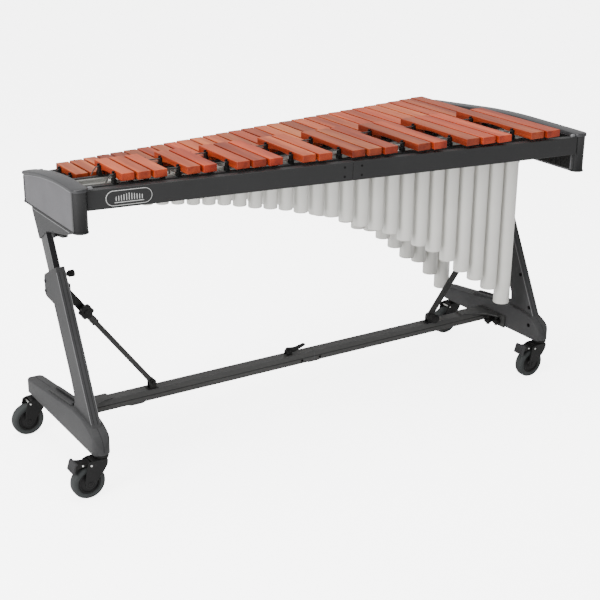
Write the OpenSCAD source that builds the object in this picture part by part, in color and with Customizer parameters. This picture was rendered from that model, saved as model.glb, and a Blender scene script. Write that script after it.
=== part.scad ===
// Four-octave concert marimba on a height-adjustable rolling frame.
// +Z is up, +X runs towards the low notes, -Y faces the audience and +Y faces the player.
// The origin is on the floor, under the middle of the overall box. The stand itself is
// drawn about the point midway between its feet, and placed() moves it to the origin.

/* [Stand] */
// Distance between the outer faces of the two feet
stand_w = 1704; // [1700:1:1712]
// Width of each foot
foot_w = 54; // [52:1:56]
// Height of the underside of the feet above the floor
foot_z = 125; // [125:1:127]
// Distance between the front and back caster stems
wheelbase = 469; // [466:1:472]
// Distance of the front caster stem in front of the origin
front_stem_y = 254; // [252:1:256]
// Lean of the legs from the vertical, in degrees
leg_tilt = 26.57; // [26:0.01:27]
// Width of the cross beam, front to back
beam_w = 42; // [40:1:44]
// Height of the cross beam
beam_h = 35; // [33:1:37]

/* [Casters] */
// Radius of each caster wheel
wheel_r = 50; // [48:1:50]
// Width of each tyre
tyre_w = 32; // [28:1:32]
// Distance of each axle behind its stem
caster_trail = 45; // [43:1:46]

/* [Keyboard] */
// Height of the top of the natural bars
natural_z = 873; // [871:1:875]
// Height of the top of the accidental bars above the natural bars
accidental_step = 29; // [27:1:31]
// Thickness of every bar at its ends
bar_t = 22; // [20:1:23]
// Pitch of the bars at the high end
pitch_high = 45.2; // [44:0.1:46]
// Pitch of the bars at the low end
pitch_low = 59.9; // [59:0.1:61]
// Gap between neighbouring bars
bar_gap = 7.5; // [7:0.1:8.5]

/* [Resonators] */
// Radius of the shortest tube
tube_r_high = 17.5; // [16:0.5:18]
// Radius of the longest tube
tube_r_low = 28; // [26:0.5:28.5]
// Wall thickness of the tubes
tube_wall = 1.5; // [1.2:0.1:2]
// Gap between the tubes and the bars above them
tube_gap = 14; // [12:1:16]

/* [End panels] */
// Thickness of each end panel
panel_t = 42; // [40:1:44]
// Height of the underside of the end panels
panel_z = 755; // [752:1:758]
// Inset of the end panels from the outer faces of the feet
panel_inset = 12; // [10:1:14]

/* [Hidden] */

$fn = 48;
eps = 0.1;
run_gap = 0.05;
face_gap = 0.02;

// ---- Shared places -------------------------------------------------------------------
foot_x = stand_w / 2 - foot_w / 2;
foot_in = stand_w / 2 - foot_w;
back_stem_y = wheelbase - front_stem_y;
panel_out = stand_w / 2 - panel_inset;
panel_in = panel_out - panel_t;
post_r = panel_t / 2 - 1;
panel_x = panel_out - panel_t / 2;
lean = tan(leg_tilt);
lean_cos = cos(leg_tilt);

// Y of the corner post centres on the short left end and on the long right end
post_front = [-175, -362];
post_back = [184, 397];
// Heights of the end caps at the front post, over the origin and at the back post
cap_front_z = natural_z + 8;
cap_mid_z = natural_z + 12;
cap_back_z = natural_z - 24;
cap_t = 9;

// Lines that fan out across the keyboard: Y at the left panel and at the right panel
natural_near = [-12, -12];
natural_far = [126, 395];
accidental_far = [13, 13];
accidental_near = [-153, -384];
front_rail_y = [-182, -378];
back_rail_y = [188, 398];
rail_t = 25;
rail_h = 57;
front_rail_z = 814;
back_rail_z = 782;
seam_x = 0;

// A cord passes through each bar at this share of its length from either end
cord_share = 0.224;
cord_r = 1.8;
cord_hole_r = 3.2;
cord_drop = 11;
rail_drop = 37;
inner_rail_w = 12;
inner_rail_h = 22;

accidental_z = natural_z + accidental_step;
natural_count = 29;
span = natural_count * (pitch_high + pitch_low) / 2;
first_x = -span / 2;

// ---- Functions -----------------------------------------------------------------------
function lerp(a, b, t) = a + (b - a) * t;
function line_y(ends, x) = lerp(ends[0], ends[1], (x + panel_in) / (2 * panel_in));
function share_line(a, b, s) = [lerp(a[0], b[0], s), lerp(a[1], b[1], s)];
// Left edge of natural bar i, counted from the highest note
function pitch_of(i) = lerp(pitch_high, pitch_low, i / (natural_count - 1));
function edge_x(i) = first_x + i * pitch_high
    + (pitch_low - pitch_high) * i * (i - 1) / (2 * (natural_count - 1));
function natural_x(i) = (edge_x(i) + edge_x(i + 1)) / 2;
// Semitones below the highest note for natural i of the descending scale C B A G F E D
scale_steps = [0, 1, 3, 5, 7, 8, 10];
function semitones(i) = 12 * floor(i / 7) + scale_steps[i % 7];
// A border between two naturals has an accidental when they are two semitones apart
function has_accidental(i) = semitones(i) - semitones(i - 1) == 2;
top_hz = 2093;
function hz(steps) = top_hz * pow(2, -steps / 12);
sound_speed = 343000;
tube_share = 0.917;
tube_extra = 34.6;
// Closed tube length, as a straight line in the quarter wavelength. It is near what the low
// notes need, and the shortest tubes come out longer than their pitch needs.
function tube_length(steps) = tube_share * sound_speed / (4 * hz(steps)) + tube_extra;
function border_steps(i) = (semitones(i) + semitones(i - 1)) / 2;
function tube_radius(x) = lerp(tube_r_high, tube_r_low, (x + span / 2) / span);

natural_near_cord = share_line(natural_near, natural_far, cord_share);
natural_far_cord = share_line(natural_near, natural_far, 1 - cord_share);
accidental_far_cord = share_line(accidental_far, accidental_near, cord_share);
accidental_near_cord = share_line(accidental_far, accidental_near, 1 - cord_share);
natural_tubes = share_line(natural_near, natural_far, 0.5);
accidental_tubes = share_line(accidental_far, accidental_near, 0.5);

charcoal = "#4d4d50";
black = "#1d1d1f";
padouk = "#c2512f";
tube_grey = "#cfcec9";
silver = "#b9bcc0";
tyre_grey = "#4a4d52";

// ---- Helpers -------------------------------------------------------------------------
// Moves the middle of the overall box, casters trailing, over the origin
module placed() {
    overall_x = (caster_trail + wheel_r - foot_w / 2) / 2;
    overall_y = -(post_front[1] + post_back[1]) / 2;
    translate([overall_x, overall_y, 0])
        children();
}

// Extrudes an outline drawn in Y and Z along +X, starting at x
module slab(x, w) {
    translate([x, 0, 0])
        rotate([90, 0, 90])
            linear_extrude(w)
                children();
}

// A straight bar between the end panels, whose front edge follows a fanned line
module fanned_bar(ends, t, z, h, x0 = -panel_in, x1 = panel_in) {
    translate([0, 0, z])
        linear_extrude(h)
            polygon([
                [x0, line_y(ends, x0)],
                [x1, line_y(ends, x1)],
                [x1, line_y(ends, x1) + t],
                [x0, line_y(ends, x0) + t]
            ]);
}

// A round rod along a fanned line
module fanned_rod(ends, z, r, x0 = -panel_in, x1 = panel_in) {
    run = x1 - x0;
    rise = line_y(ends, x1) - line_y(ends, x0);
    translate([x0, line_y(ends, x0), z])
        rotate([0, 0, atan2(rise, run)])
            rotate([0, 90, 0])
                cylinder(h = sqrt(run * run + rise * rise), r = r, $fn = 24);
}

module both_ends() {
    children();
    mirror([1, 0, 0])
        children();
}

// ---- Feet ----------------------------------------------------------------------------
nose_r = 42;
nose_y = -front_stem_y - 22;
foot_back_y = back_stem_y + 50;
foot_back_z = 169;
leg_seat_y = [nose_y + nose_r, -112];
leg_seat_z = [221, 213];
function foot_top(y) = y < leg_seat_y[1]
    ? lerp(leg_seat_z[0], leg_seat_z[1], (y - leg_seat_y[0]) / (leg_seat_y[1] - leg_seat_y[0]))
    : lerp(leg_seat_z[1], foot_back_z, (y - leg_seat_y[1]) / (foot_back_y - leg_seat_y[1]));

module foot_profile() {
    translate([leg_seat_y[0], leg_seat_z[0] - nose_r])
        circle(r = nose_r);
    polygon([
        [nose_y + 4, foot_z],
        [foot_back_y, foot_z],
        [foot_back_y, foot_back_z],
        [leg_seat_y[1], leg_seat_z[1]],
        [leg_seat_y[0], leg_seat_z[0]],
        [nose_y, leg_seat_z[0] - nose_r],
        [nose_y, foot_z + 20]
    ]);
}

module foot_plan() {
    translate([foot_x, nose_y + foot_w / 2, 0])
        cylinder(h = 300, r = foot_w / 2);
    translate([foot_x, foot_back_y - foot_w / 2, 0])
        cylinder(h = 300, r = foot_w / 2);
    translate([foot_x - foot_w / 2, nose_y + foot_w / 2, 0])
        cube([foot_w, foot_back_y - nose_y - foot_w, 300]);
}

// Two shell halves that meet on the middle plane, with a slot in the top behind the leg
module foot_shells() {
    slot_y = [-22, 90];
    slot_depth = 9;
    slot_w = 10;
    difference() {
        intersection() {
            union() {
                slab(foot_x - foot_w / 2, foot_w / 2 - eps)
                    foot_profile();
                slab(foot_x + eps, foot_w / 2 - eps)
                    foot_profile();
            }
            foot_plan();
        }
        for (y = [-front_stem_y, back_stem_y])
            translate([foot_x, y, foot_z - 1])
                cylinder(h = stem_h + 1, r = stem_r + run_gap);
        for (side = [-1, 1])
            slab(foot_x + side * 10 - slot_w / 2, slot_w)
                polygon([
                    [slot_y[0], foot_top(slot_y[0]) - slot_depth],
                    [slot_y[1], foot_top(slot_y[1]) - slot_depth],
                    [slot_y[1], foot_top(slot_y[1]) + 5],
                    [slot_y[0], foot_top(slot_y[0]) + 5]
                ]);
    }
}

module left_foot() {
    color(charcoal) placed()
        mirror([1, 0, 0])
            foot_shells();
}

module right_foot() {
    color(charcoal) placed()
        foot_shells();
}

// ---- Legs ----------------------------------------------------------------------------
leg_w = 28;
leg_front_y = -225.6;
leg_front_z = 206;
leg_depth = 88;
leg_top_z = 611;
head_back_y = 72;
tube_w = 20;
tube_d = 46;
tube_offset = 52;
function leg_y(z) = leg_front_y + lean * (z - leg_front_z);
function tube_axis_y(z) = leg_y(z) + tube_offset;

module leg_profile() {
    polygon([
        [leg_y(219), foot_top(leg_y(219)) + face_gap],
        [leg_y(213) + leg_depth, foot_top(leg_y(213) + leg_depth) + face_gap],
        [leg_y(492) + leg_depth, 492],
        [head_back_y, 506],
        [head_back_y, leg_top_z - (head_back_y - leg_y(leg_top_z)) * lean],
        [leg_y(leg_top_z), leg_top_z]
    ]);
}

// Straight section of the sliding tube between two heights on its own axis
module tube_profile(z0, z1, extra = 0) {
    half = (tube_d / 2 + extra) / lean_cos;
    polygon([
        [tube_axis_y(z0) - half, z0],
        [tube_axis_y(z0) + half, z0],
        [tube_axis_y(z1) + half, z1],
        [tube_axis_y(z1) - half, z1]
    ]);
}

knob_y = -6;
knob_z = 583;
brace_y = 6;
brace_top = [foot_x - leg_w / 2, 540];
clevis_x = 539;
clevis_z = 182;

module lower_leg() {
    groove_d = 2;
    difference() {
        slab(foot_x - leg_w / 2, leg_w)
            leg_profile();
        slab(foot_x - tube_w / 2 - eps, tube_w + 2 * eps)
            tube_profile(300, 700, eps);
        for (side = [-1, 1])
            slab(foot_x + side * 5 - 1, 2)
                polygon([
                    [leg_y(225) - 5, 225],
                    [leg_y(225) + groove_d, 225],
                    [leg_y(700) + groove_d, 700],
                    [leg_y(700) - 5, 700]
                ]);
        translate([foot_x - leg_w / 2 - 1, knob_y, knob_z])
            rotate([0, 90, 0])
                cylinder(h = 10, r = knob_stud_r + run_gap);
    }
}

module left_lower_leg() {
    color(charcoal) placed()
        mirror([1, 0, 0])
            lower_leg();
}

module right_lower_leg() {
    color(charcoal) placed()
        lower_leg();
}

upper_z = [345, panel_z - 4];

module upper_leg() {
    difference() {
        slab(foot_x - tube_w / 2, tube_w)
            tube_profile(upper_z[0], upper_z[1]);
        slab(foot_x - tube_w / 2 + 2, tube_w - 4)
            tube_profile(upper_z[0] - 50, upper_z[1] - 20, -2);
    }
}

module left_upper_leg() {
    color(charcoal) placed()
        mirror([1, 0, 0])
            upper_leg();
}

module right_upper_leg() {
    color(charcoal) placed()
        upper_leg();
}

// Wedge bracket that carries the end panel on the sliding tube
bracket_w = 30;
lever_y = -22;
lever_z = 713;
lever_r = 9;
lever_len = 60;
lever_pin_r = 3;
wedge_slope = 10.3;

module leg_bracket() {
    difference() {
        union() {
            slab(foot_x - bracket_w / 2, bracket_w)
                polygon([
                    [-150, panel_z],
                    [-150, panel_z - 7],
                    [-112, panel_z - 22],
                    [28, panel_z - 47],
                    [89, panel_z - 87],
                    [134, panel_z - 9],
                    [134, panel_z]
                ]);
            translate([foot_x - bracket_w / 2, lever_y, lever_z])
                rotate([0, 90, 0])
                    cylinder(h = bracket_w, r = lever_r + 1);
        }
        slab(foot_x - tube_w / 2 - eps, tube_w + 2 * eps)
            tube_profile(600, upper_z[1] + eps, eps);
        slab(foot_x - 9, 18)
            translate([lever_y, lever_z])
                circle(r = lever_r + 4);
        translate([foot_x - bracket_w / 2 - 1, lever_y, lever_z])
            rotate([0, 90, 0])
                cylinder(h = bracket_w + 2, r = lever_pin_r + run_gap);
    }
}

module left_leg_bracket() {
    color(charcoal) placed()
        mirror([1, 0, 0])
            leg_bracket();
}

module right_leg_bracket() {
    color(charcoal) placed()
        leg_bracket();
}

// Short lever whose pin turns in the bracket
module lock_lever() {
    translate([foot_x, lever_y, lever_z])
        rotate([0, 90, 0]) {
            cylinder(h = 16, r = lever_r, center = true);
            cylinder(h = bracket_w, r = lever_pin_r, center = true);
        }
    translate([foot_x - 7, lever_y, lever_z])
        rotate([-wedge_slope, 0, 0])
            translate([0, -lever_len, -6])
                cube([14, lever_len - 2, 7]);
}

module left_lock_lever() {
    color(black) placed()
        mirror([1, 0, 0])
            lock_lever();
}

module right_lock_lever() {
    color(black) placed()
        lock_lever();
}

// Knob on the inner face of each leg, which clamps the sliding tube
knob_stud_r = 4;
knob_neck_r = 6;
knob_head_r = 11;
knob_neck = 9;
knob_len = 24;

module height_knob() {
    translate([foot_x - leg_w / 2, knob_y, knob_z])
        rotate([0, 90, 0])
            rotate_extrude()
                polygon([
                    [0, -knob_len],
                    [knob_head_r, -knob_len],
                    [knob_head_r - 2, -knob_neck],
                    [knob_neck_r, -knob_neck],
                    [knob_neck_r, 0],
                    [knob_stud_r, 0],
                    [knob_stud_r, 3],
                    [0, 3]
                ]);
}

module left_height_knob() {
    color(black) placed()
        mirror([1, 0, 0])
            height_knob();
}

module right_height_knob() {
    color(black) placed()
        height_knob();
}

// ---- Cross beam ----------------------------------------------------------------------
beam_y = -8;
beam_seam = 50;
cam_x = -40;

module beam_half(x0, x1) {
    wall = 3;
    groove = 1.5;
    difference() {
        translate([x0, beam_y, foot_z])
            cube([x1 - x0, beam_w, beam_h]);
        translate([x0 - 1, beam_y + wall, foot_z + wall])
            cube([x1 - x0 + 2, beam_w - 2 * wall, beam_h - 2 * wall]);
        translate([x0 - 1, beam_y - 1, foot_z + beam_h / 2 - 1])
            cube([x1 - x0 + 2, groove + 1, 2]);
    }
}

module beam_left() {
    color(black) placed()
        beam_half(-foot_in, beam_seam - eps);
}

module beam_right() {
    color(black) placed()
        beam_half(beam_seam + eps, foot_in);
}

module beam_coupler() {
    color(silver) placed()
        translate([beam_seam - 90, beam_y + 3 + eps, foot_z + 3])
            cube([180, beam_w - 6 - 2 * eps, beam_h - 6 - eps]);
}

// Flat gusset at each end of the beam, with a concave front edge and a lip on the foot
gusset_len = 123;
gusset_reach = 78;
gusset_arc_r = 102;
gusset_t = 6;
lip_t = 8;
lip_len = 42;
lip_reach = 18;

module beam_gusset() {
    x0 = foot_in - gusset_len;
    front_y = beam_y - gusset_reach;
    top_z = foot_z + beam_h;
    difference() {
        translate([x0, front_y, top_z])
            cube([gusset_len, gusset_reach + beam_w, gusset_t]);
        translate([x0, beam_y - gusset_arc_r, top_z - 1])
            cylinder(h = gusset_t + 2, r = gusset_arc_r, $fn = 96);
    }
    translate([foot_in - lip_t, front_y - lip_reach, foot_z - 3])
        cube([lip_t, lip_len, beam_h + 3 + gusset_t]);
}

module left_beam_bracket() {
    color(charcoal) placed()
        mirror([1, 0, 0])
            beam_gusset();
}

module right_beam_bracket() {
    color(charcoal) placed()
        beam_gusset();
}

// Cam lever on top of the beam, over the joint between its halves
cam_pin_z = foot_z + beam_h + 14;

module cam_lever() {
    color(black) placed() {
        translate([cam_x, beam_y + beam_w / 2, cam_pin_z])
            rotate([90, 0, 0])
                difference() {
                    cylinder(h = 12, r = 10, center = true);
                    cylinder(h = 20, r = pivot_pin_r + run_gap, center = true);
                }
        slab_y(beam_y + beam_w / 2 - 5, 10)
            polygon([
                [cam_x + 5, cam_pin_z - 9],
                [cam_x + 24, cam_pin_z - 8],
                [cam_x + 63, cam_pin_z + 6],
                [cam_x + 65, cam_pin_z + 10],
                [cam_x + 60, cam_pin_z + 13],
                [cam_x + 9, cam_pin_z + 5],
                [cam_x + 5, cam_pin_z + 5]
            ]);
    }
}

// Extrudes an outline drawn in X and Z along +Y, starting at y
module slab_y(y, w) {
    translate([0, y + w, 0])
        rotate([90, 0, 0])
            linear_extrude(w)
                children();
}

// ---- Braces --------------------------------------------------------------------------
brace_run = brace_top[0] - clevis_x;
brace_rise = brace_top[1] - clevis_z;
brace_len = sqrt(brace_run * brace_run + brace_rise * brace_rise);
brace_angle = atan2(brace_rise, brace_run);
brace_knob_at = 0.78;

// Places children on the left brace, with +X along it from the beam to the leg
module on_left_brace() {
    translate([-clevis_x, brace_y, clevis_z])
        mirror([1, 0, 0])
            rotate([0, -brace_angle, 0])
                children();
}

module on_right_brace() {
    translate([clevis_x, brace_y, clevis_z])
        rotate([0, -brace_angle, 0])
            children();
}

arm_overlap = 14;
arm_t = 5;
arm_w = 24;
tongue_t = 10;
brace_end = 16;

module left_brace_arm() {
    color(black) placed()
        on_left_brace()
            translate([brace_len * brace_knob_at - arm_overlap, -brace_tube_r - arm_t, -arm_w / 2])
                difference() {
                    cube([brace_len * (1 - brace_knob_at) + arm_overlap - brace_end, arm_t, arm_w]);
                    translate([arm_overlap, -1, arm_w / 2])
                        rotate([-90, 0, 0])
                            cylinder(h = arm_t + 2, r = knob_stud_r + run_gap);
                }
}

brace_tube_r = 8;

module left_brace_tube() {
    color(charcoal) placed()
        on_left_brace()
            difference() {
                union() {
                    translate([24, 0, 0])
                        rotate([0, 90, 0])
                            cylinder(h = brace_len * (brace_knob_at + 0.08) - 24, r = brace_tube_r);
                    translate([brace_len * (brace_knob_at - 0.13), 0, 0])
                        rotate([0, 90, 0])
                            cylinder(h = 26, r = brace_tube_r + 3);
                    translate([0, -tongue_t / 2, -brace_tube_r])
                        cube([26, tongue_t, 2 * brace_tube_r]);
                    rotate([90, 0, 0])
                        cylinder(h = tongue_t, r = brace_tube_r, center = true);
                }
                rotate([90, 0, 0])
                    cylinder(h = 40, r = pivot_pin_r + run_gap, center = true);
                translate([brace_len * brace_knob_at, 0, 0])
                    rotate([90, 0, 0])
                        cylinder(h = 40, r = knob_stud_r + run_gap, center = true);
            }
}

// Six-lobed clamping knob of the telescopic brace
module brace_knob() {
    color(black) placed()
        on_left_brace()
            translate([brace_len * brace_knob_at, 0, 0]) {
                translate([0, -14, 0])
                    rotate([90, 0, 0]) {
                        cylinder(h = 18, r = 16);
                        for (a = [0 : 60 : 300])
                            rotate([0, 0, a])
                                translate([15, 0, 0])
                                    cylinder(h = 18, r = 7, $fn = 24);
                    }
                translate([0, -15, 0])
                    rotate([-90, 0, 0])
                        cylinder(h = 27, r = knob_stud_r);
            }
}

pivot_pin_r = 4;
clevis_gap = 6;
clevis_t = 5;

module clevis(x, pin_reach) {
    top = foot_z + beam_h;
    for (y = [brace_y - clevis_gap - clevis_t, brace_y + clevis_gap])
        translate([x - 11, y, top])
            cube([22, clevis_t, 34]);
    translate([x, brace_y + clevis_gap + clevis_t + 4, clevis_z])
        rotate([90, 0, 0])
            cylinder(h = clevis_gap + clevis_t + 4 + pin_reach, r = pivot_pin_r);
    translate([x - 15, brace_y - 11, top])
        cube([30, 22, 3]);
}

// Clevises on the beam, lugs on the legs and the ears of the cam lever
lug_t = 5;
bar_half = 3;

module pivot_brackets() {
    color(black) placed() {
        clevis(-clevis_x, 15);
        clevis(clevis_x, 21);
        both_ends()
            for (y = [brace_y - bar_half - lug_t, brace_y + bar_half])
                translate([brace_top[0] - 22, y, brace_top[1] - 18])
                    cube([22, lug_t, 28]);
        for (side = [-1, 1])
            translate([cam_x - 11, beam_y + beam_w / 2 + side * 9 - 2, foot_z + beam_h])
                cube([22, 4, 22]);
        translate([cam_x, beam_y + beam_w / 2 + 12, cam_pin_z])
            rotate([90, 0, 0])
                cylinder(h = 24, r = pivot_pin_r);
    }
}

module right_brace_bar() {
    color(black) placed()
        on_right_brace()
            difference() {
                union() {
                    translate([0, -bar_half, -9])
                        cube([brace_len - brace_end, 2 * bar_half, 18]);
                    rotate([90, 0, 0])
                        cylinder(h = 2 * bar_half, r = 9, center = true);
                }
                rotate([90, 0, 0])
                    cylinder(h = 20, r = pivot_pin_r + run_gap, center = true);
            }
}

module brace_pivot_knob() {
    color(black) placed()
        translate([clevis_x, brace_y - 15, clevis_z])
            rotate([90, 0, 0])
                difference() {
                    union() {
                        cylinder(h = 26, r = 14);
                        for (a = [0 : 45 : 315])
                            rotate([0, 0, a])
                                translate([13, 0, 0])
                                    cylinder(h = 26, r = 3, $fn = 16);
                    }
                    translate([0, 0, -1])
                        cylinder(h = 7.5, r = pivot_pin_r + run_gap);
                }
}

// Hexagon bolts on the legs, the feet and the beam
module stand_bolts() {
    color(black) placed() {
        both_ends() {
            for (z = [517, 548])
                translate([foot_x, head_back_y, z])
                    rotate([-90, 0, 0])
                        cylinder(h = 5, r = 7, $fn = 6);
            translate([foot_in - 3, -222, 172])
                rotate([0, 90, 0])
                    cylinder(h = 3, r = 6, $fn = 6);
            for (yz = [[-155, 268], [-62, 430]])
                translate([foot_x - leg_w / 2 - 3, yz[0], yz[1]])
                    rotate([0, 90, 0])
                        cylinder(h = 3, r = 6, $fn = 6);
        }
        for (x = [beam_seam - 48, beam_seam + 22])
            translate([x, beam_y, foot_z + 10])
                rotate([90, 0, 0])
                    cylinder(h = 4, r = 6, $fn = 6);
    }
}

// ---- Casters -------------------------------------------------------------------------
stem_r = 6;
stem_h = 28;
socket_r = 20;
socket_h = 6;
axle_r = 5;
hub_r = 33;
fork_gap = tyre_w / 2 + 3;
fork_t = 4;
fork_top = foot_z - socket_h - 0.2;
pedal_pivot = [-caster_trail + 5, 107];
pedal_pin_r = 3;

module caster_sockets() {
    color(silver) placed()
        for (x = [-foot_x, foot_x], y = [-front_stem_y, back_stem_y])
            translate([x, y, foot_z - socket_h])
                difference() {
                    cylinder(h = socket_h, r = socket_r);
                    translate([0, 0, -1])
                        cylinder(h = socket_h + 2, r = stem_r + run_gap);
                }
}

module fork() {
    for (side = [-1, 1])
        slab_y(side * (fork_gap + fork_t / 2) - fork_t / 2, fork_t) {
            translate([-caster_trail, wheel_r])
                circle(r = 13);
            polygon([
                [-caster_trail - 11, wheel_r + 7],
                [-caster_trail + 4, wheel_r - 12],
                [18, fork_top - 14],
                [18, fork_top],
                [pedal_pivot[0] - 8, fork_top],
                [pedal_pivot[0] - 8, pedal_pivot[1] - 10]
            ]);
        }
    translate([-20, -fork_gap - fork_t, fork_top - 6])
        cube([38, 2 * (fork_gap + fork_t), 6]);
    translate([0, 0, fork_top - 6])
        cylinder(h = 6, r = socket_r);
    translate([0, 0, fork_top - 1])
        cylinder(h = stem_h + socket_h - 4, r = stem_r);
    translate([-caster_trail, fork_gap + fork_t + 2, wheel_r])
        rotate([90, 0, 0])
            cylinder(h = 2 * (fork_gap + fork_t + 2), r = axle_r);
    translate([pedal_pivot[0], fork_gap + fork_t + 1, pedal_pivot[1]])
        rotate([90, 0, 0])
            cylinder(h = 2 * (fork_gap + fork_t + 1), r = pedal_pin_r);
}

module hub() {
    half = tyre_w / 2;
    translate([-caster_trail, 0, wheel_r])
        rotate([90, 0, 0])
            rotate_extrude()
                polygon([
                    [axle_r + run_gap, -half],
                    [12, -half],
                    [12, -half + 6],
                    [hub_r - 6, -half + 6],
                    [hub_r - 6, -half + 1],
                    [hub_r - run_gap, -half + 1],
                    [hub_r - run_gap, half - 1],
                    [hub_r - 6, half - 1],
                    [hub_r - 6, half - 6],
                    [12, half - 6],
                    [12, half],
                    [axle_r + run_gap, half]
                ]);
}

module tyre() {
    half = tyre_w / 2;
    translate([-caster_trail, 0, wheel_r])
        rotate([90, 0, 0])
            rotate_extrude($fn = 96)
                polygon([
                    [hub_r, -half + 1],
                    [hub_r + 2, -half],
                    [wheel_r - 6, -half],
                    [wheel_r - 1, -half + 5],
                    [wheel_r, -half + 9],
                    [wheel_r, half - 9],
                    [wheel_r - 1, half - 5],
                    [wheel_r - 6, half],
                    [hub_r + 2, half],
                    [hub_r, half - 1]
                ]);
}

module brake() {
    difference() {
        union() {
            translate([pedal_pivot[0], fork_gap - 1, pedal_pivot[1]])
                rotate([90, 0, 0])
                    cylinder(h = 2 * fork_gap - 2, r = 6);
            slab_y(-14, 28)
                translate(pedal_pivot)
                    polygon([
                        [-3, 1],
                        [-3, 6],
                        [-30, 9],
                        [-40, 14],
                        [-46, 13],
                        [-55, -12],
                        [-52, -15],
                        [-47, -13],
                        [-42, -2],
                        [-28, 1]
                    ]);
        }
        translate([pedal_pivot[0], 30, pedal_pivot[1]])
            rotate([90, 0, 0])
                cylinder(h = 60, r = pedal_pin_r + run_gap);
    }
}

module at_caster(side, y) {
    translate([side * foot_x, y, 0])
        children();
}

module front_left_fork() { color(black) placed() at_caster(-1, -front_stem_y) fork(); }
module front_left_hub() { color(black) placed() at_caster(-1, -front_stem_y) hub(); }
module front_left_tyre() { color(tyre_grey) placed() at_caster(-1, -front_stem_y) tyre(); }
module front_left_brake() { color(black) placed() at_caster(-1, -front_stem_y) brake(); }
module back_left_fork() { color(black) placed() at_caster(-1, back_stem_y) fork(); }
module back_left_hub() { color(black) placed() at_caster(-1, back_stem_y) hub(); }
module back_left_tyre() { color(tyre_grey) placed() at_caster(-1, back_stem_y) tyre(); }
module front_right_fork() { color(black) placed() at_caster(1, -front_stem_y) fork(); }
module front_right_hub() { color(black) placed() at_caster(1, -front_stem_y) hub(); }
module front_right_tyre() { color(tyre_grey) placed() at_caster(1, -front_stem_y) tyre(); }
module front_right_brake() { color(black) placed() at_caster(1, -front_stem_y) brake(); }
module back_right_fork() { color(black) placed() at_caster(1, back_stem_y) fork(); }
module back_right_hub() { color(black) placed() at_caster(1, back_stem_y) hub(); }
module back_right_tyre() { color(tyre_grey) placed() at_caster(1, back_stem_y) tyre(); }

// ---- End panels ----------------------------------------------------------------------
// The cap rises gently to the middle, then bends over and falls towards the player
cap_bend = 130;
bend_steps = 8;
function cap_rise(end) = (cap_mid_z - cap_front_z) / -post_front[end];
function cap_fall(end) = (cap_mid_z - cap_back_z) / post_back[end];
function bend_drop(end, y) = (cap_rise(end) + cap_fall(end)) * pow(y + cap_bend, 2) / (4 * cap_bend);
function cap_top(end, y) = y < -cap_bend ? cap_mid_z + cap_rise(end) * y
    : y > cap_bend ? cap_mid_z - cap_fall(end) * y
    : cap_mid_z + cap_rise(end) * y - bend_drop(end, y);
function bend_y(k) = cap_bend * (2 * k / bend_steps - 1);
function cap_line(end, drop) = concat(
    [[post_front[end] - 40, cap_top(end, post_front[end] - 40) - drop]],
    [for (k = [0 : bend_steps]) [bend_y(k), cap_top(end, bend_y(k)) - drop]],
    [[post_back[end] + 40, cap_top(end, post_back[end] + 40) - drop]]
);
function reversed(points) = [for (k = [len(points) - 1 : -1 : 0]) points[k]];

// Side outlines of the cap, and of everything below it
module cap_outline(end) {
    polygon(concat(cap_line(end, 0), reversed(cap_line(end, cap_t))));
}

module under_cap_outline(end) {
    polygon(concat(cap_line(end, cap_t), [
        [post_back[end] + 40, panel_z],
        [post_front[end] - 40, panel_z]
    ]));
}

// Long rounded plan shape around the two corner posts, grown by extra
module end_plan(end, extra) {
    r = panel_t / 2 + extra;
    sx = end == 0 ? -panel_x : panel_x;
    for (y = [post_front[end], post_back[end]])
        translate([sx, y, 700])
            cylinder(h = 250, r = r);
    translate([sx - r, post_front[end], 700])
        cube([2 * r, post_back[end] - post_front[end], 250]);
}

// Extrudes a side outline across the width of one end
module end_slab(end, half_w) {
    sx = end == 0 ? -panel_x : panel_x;
    slab(sx - half_w, 2 * half_w)
        children();
}

module end_panel(end) {
    sx = end == 0 ? -panel_x : panel_x;
    difference() {
        intersection() {
            end_slab(end, panel_t / 2)
                under_cap_outline(end);
            translate([sx - panel_t / 2, post_front[end], 700])
                cube([panel_t, post_back[end] - post_front[end], 250]);
        }
        for (y = [post_front[end], post_back[end]])
            translate([sx, y, 700])
                cylinder(h = 250, r = post_r + eps);
    }
}

module left_end_panel() {
    color(charcoal) placed()
        end_panel(0);
}

module right_end_panel() {
    color(charcoal) placed()
        end_panel(1);
}

cap_overhang = 3;

module end_caps() {
    color(black) placed()
        for (end = [0, 1])
            intersection() {
                end_slab(end, panel_t)
                    cap_outline(end);
                end_plan(end, cap_overhang);
            }
}

module corner_posts() {
    color(black) placed()
        for (end = [0, 1], y = [post_front[end], post_back[end]])
            intersection() {
                end_slab(end, panel_t)
                    under_cap_outline(end);
                translate([end == 0 ? -panel_x : panel_x, y, panel_z])
                    cylinder(h = 200, r = post_r);
            }
}

// ---- Rails ---------------------------------------------------------------------------
module box_rail(ends, z, x0, x1) {
    wall = 2.5;
    inner = [ends[0] + wall, ends[1] + wall];
    difference() {
        fanned_bar(ends, rail_t, z, rail_h, x0, x1);
        fanned_bar(inner, rail_t - 2 * wall, z + wall, rail_h - 2 * wall, x0 - 1, x1 + 1);
    }
}

module front_rail() {
    color(black) placed() {
        box_rail(front_rail_y, front_rail_z, -panel_in, seam_x - eps);
        box_rail(front_rail_y, front_rail_z, seam_x + eps, panel_in);
    }
}

module back_rail() {
    ends = [back_rail_y[0] - rail_t, back_rail_y[1] - rail_t];
    color(black) placed() {
        box_rail(ends, back_rail_z, -panel_in, seam_x - eps);
        box_rail(ends, back_rail_z, seam_x + eps, panel_in);
    }
}

module inner_rail(ends, top) {
    near = [ends[0] - inner_rail_w / 2, ends[1] - inner_rail_w / 2];
    fanned_bar(near, inner_rail_w, top - inner_rail_h, inner_rail_h);
}

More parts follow.
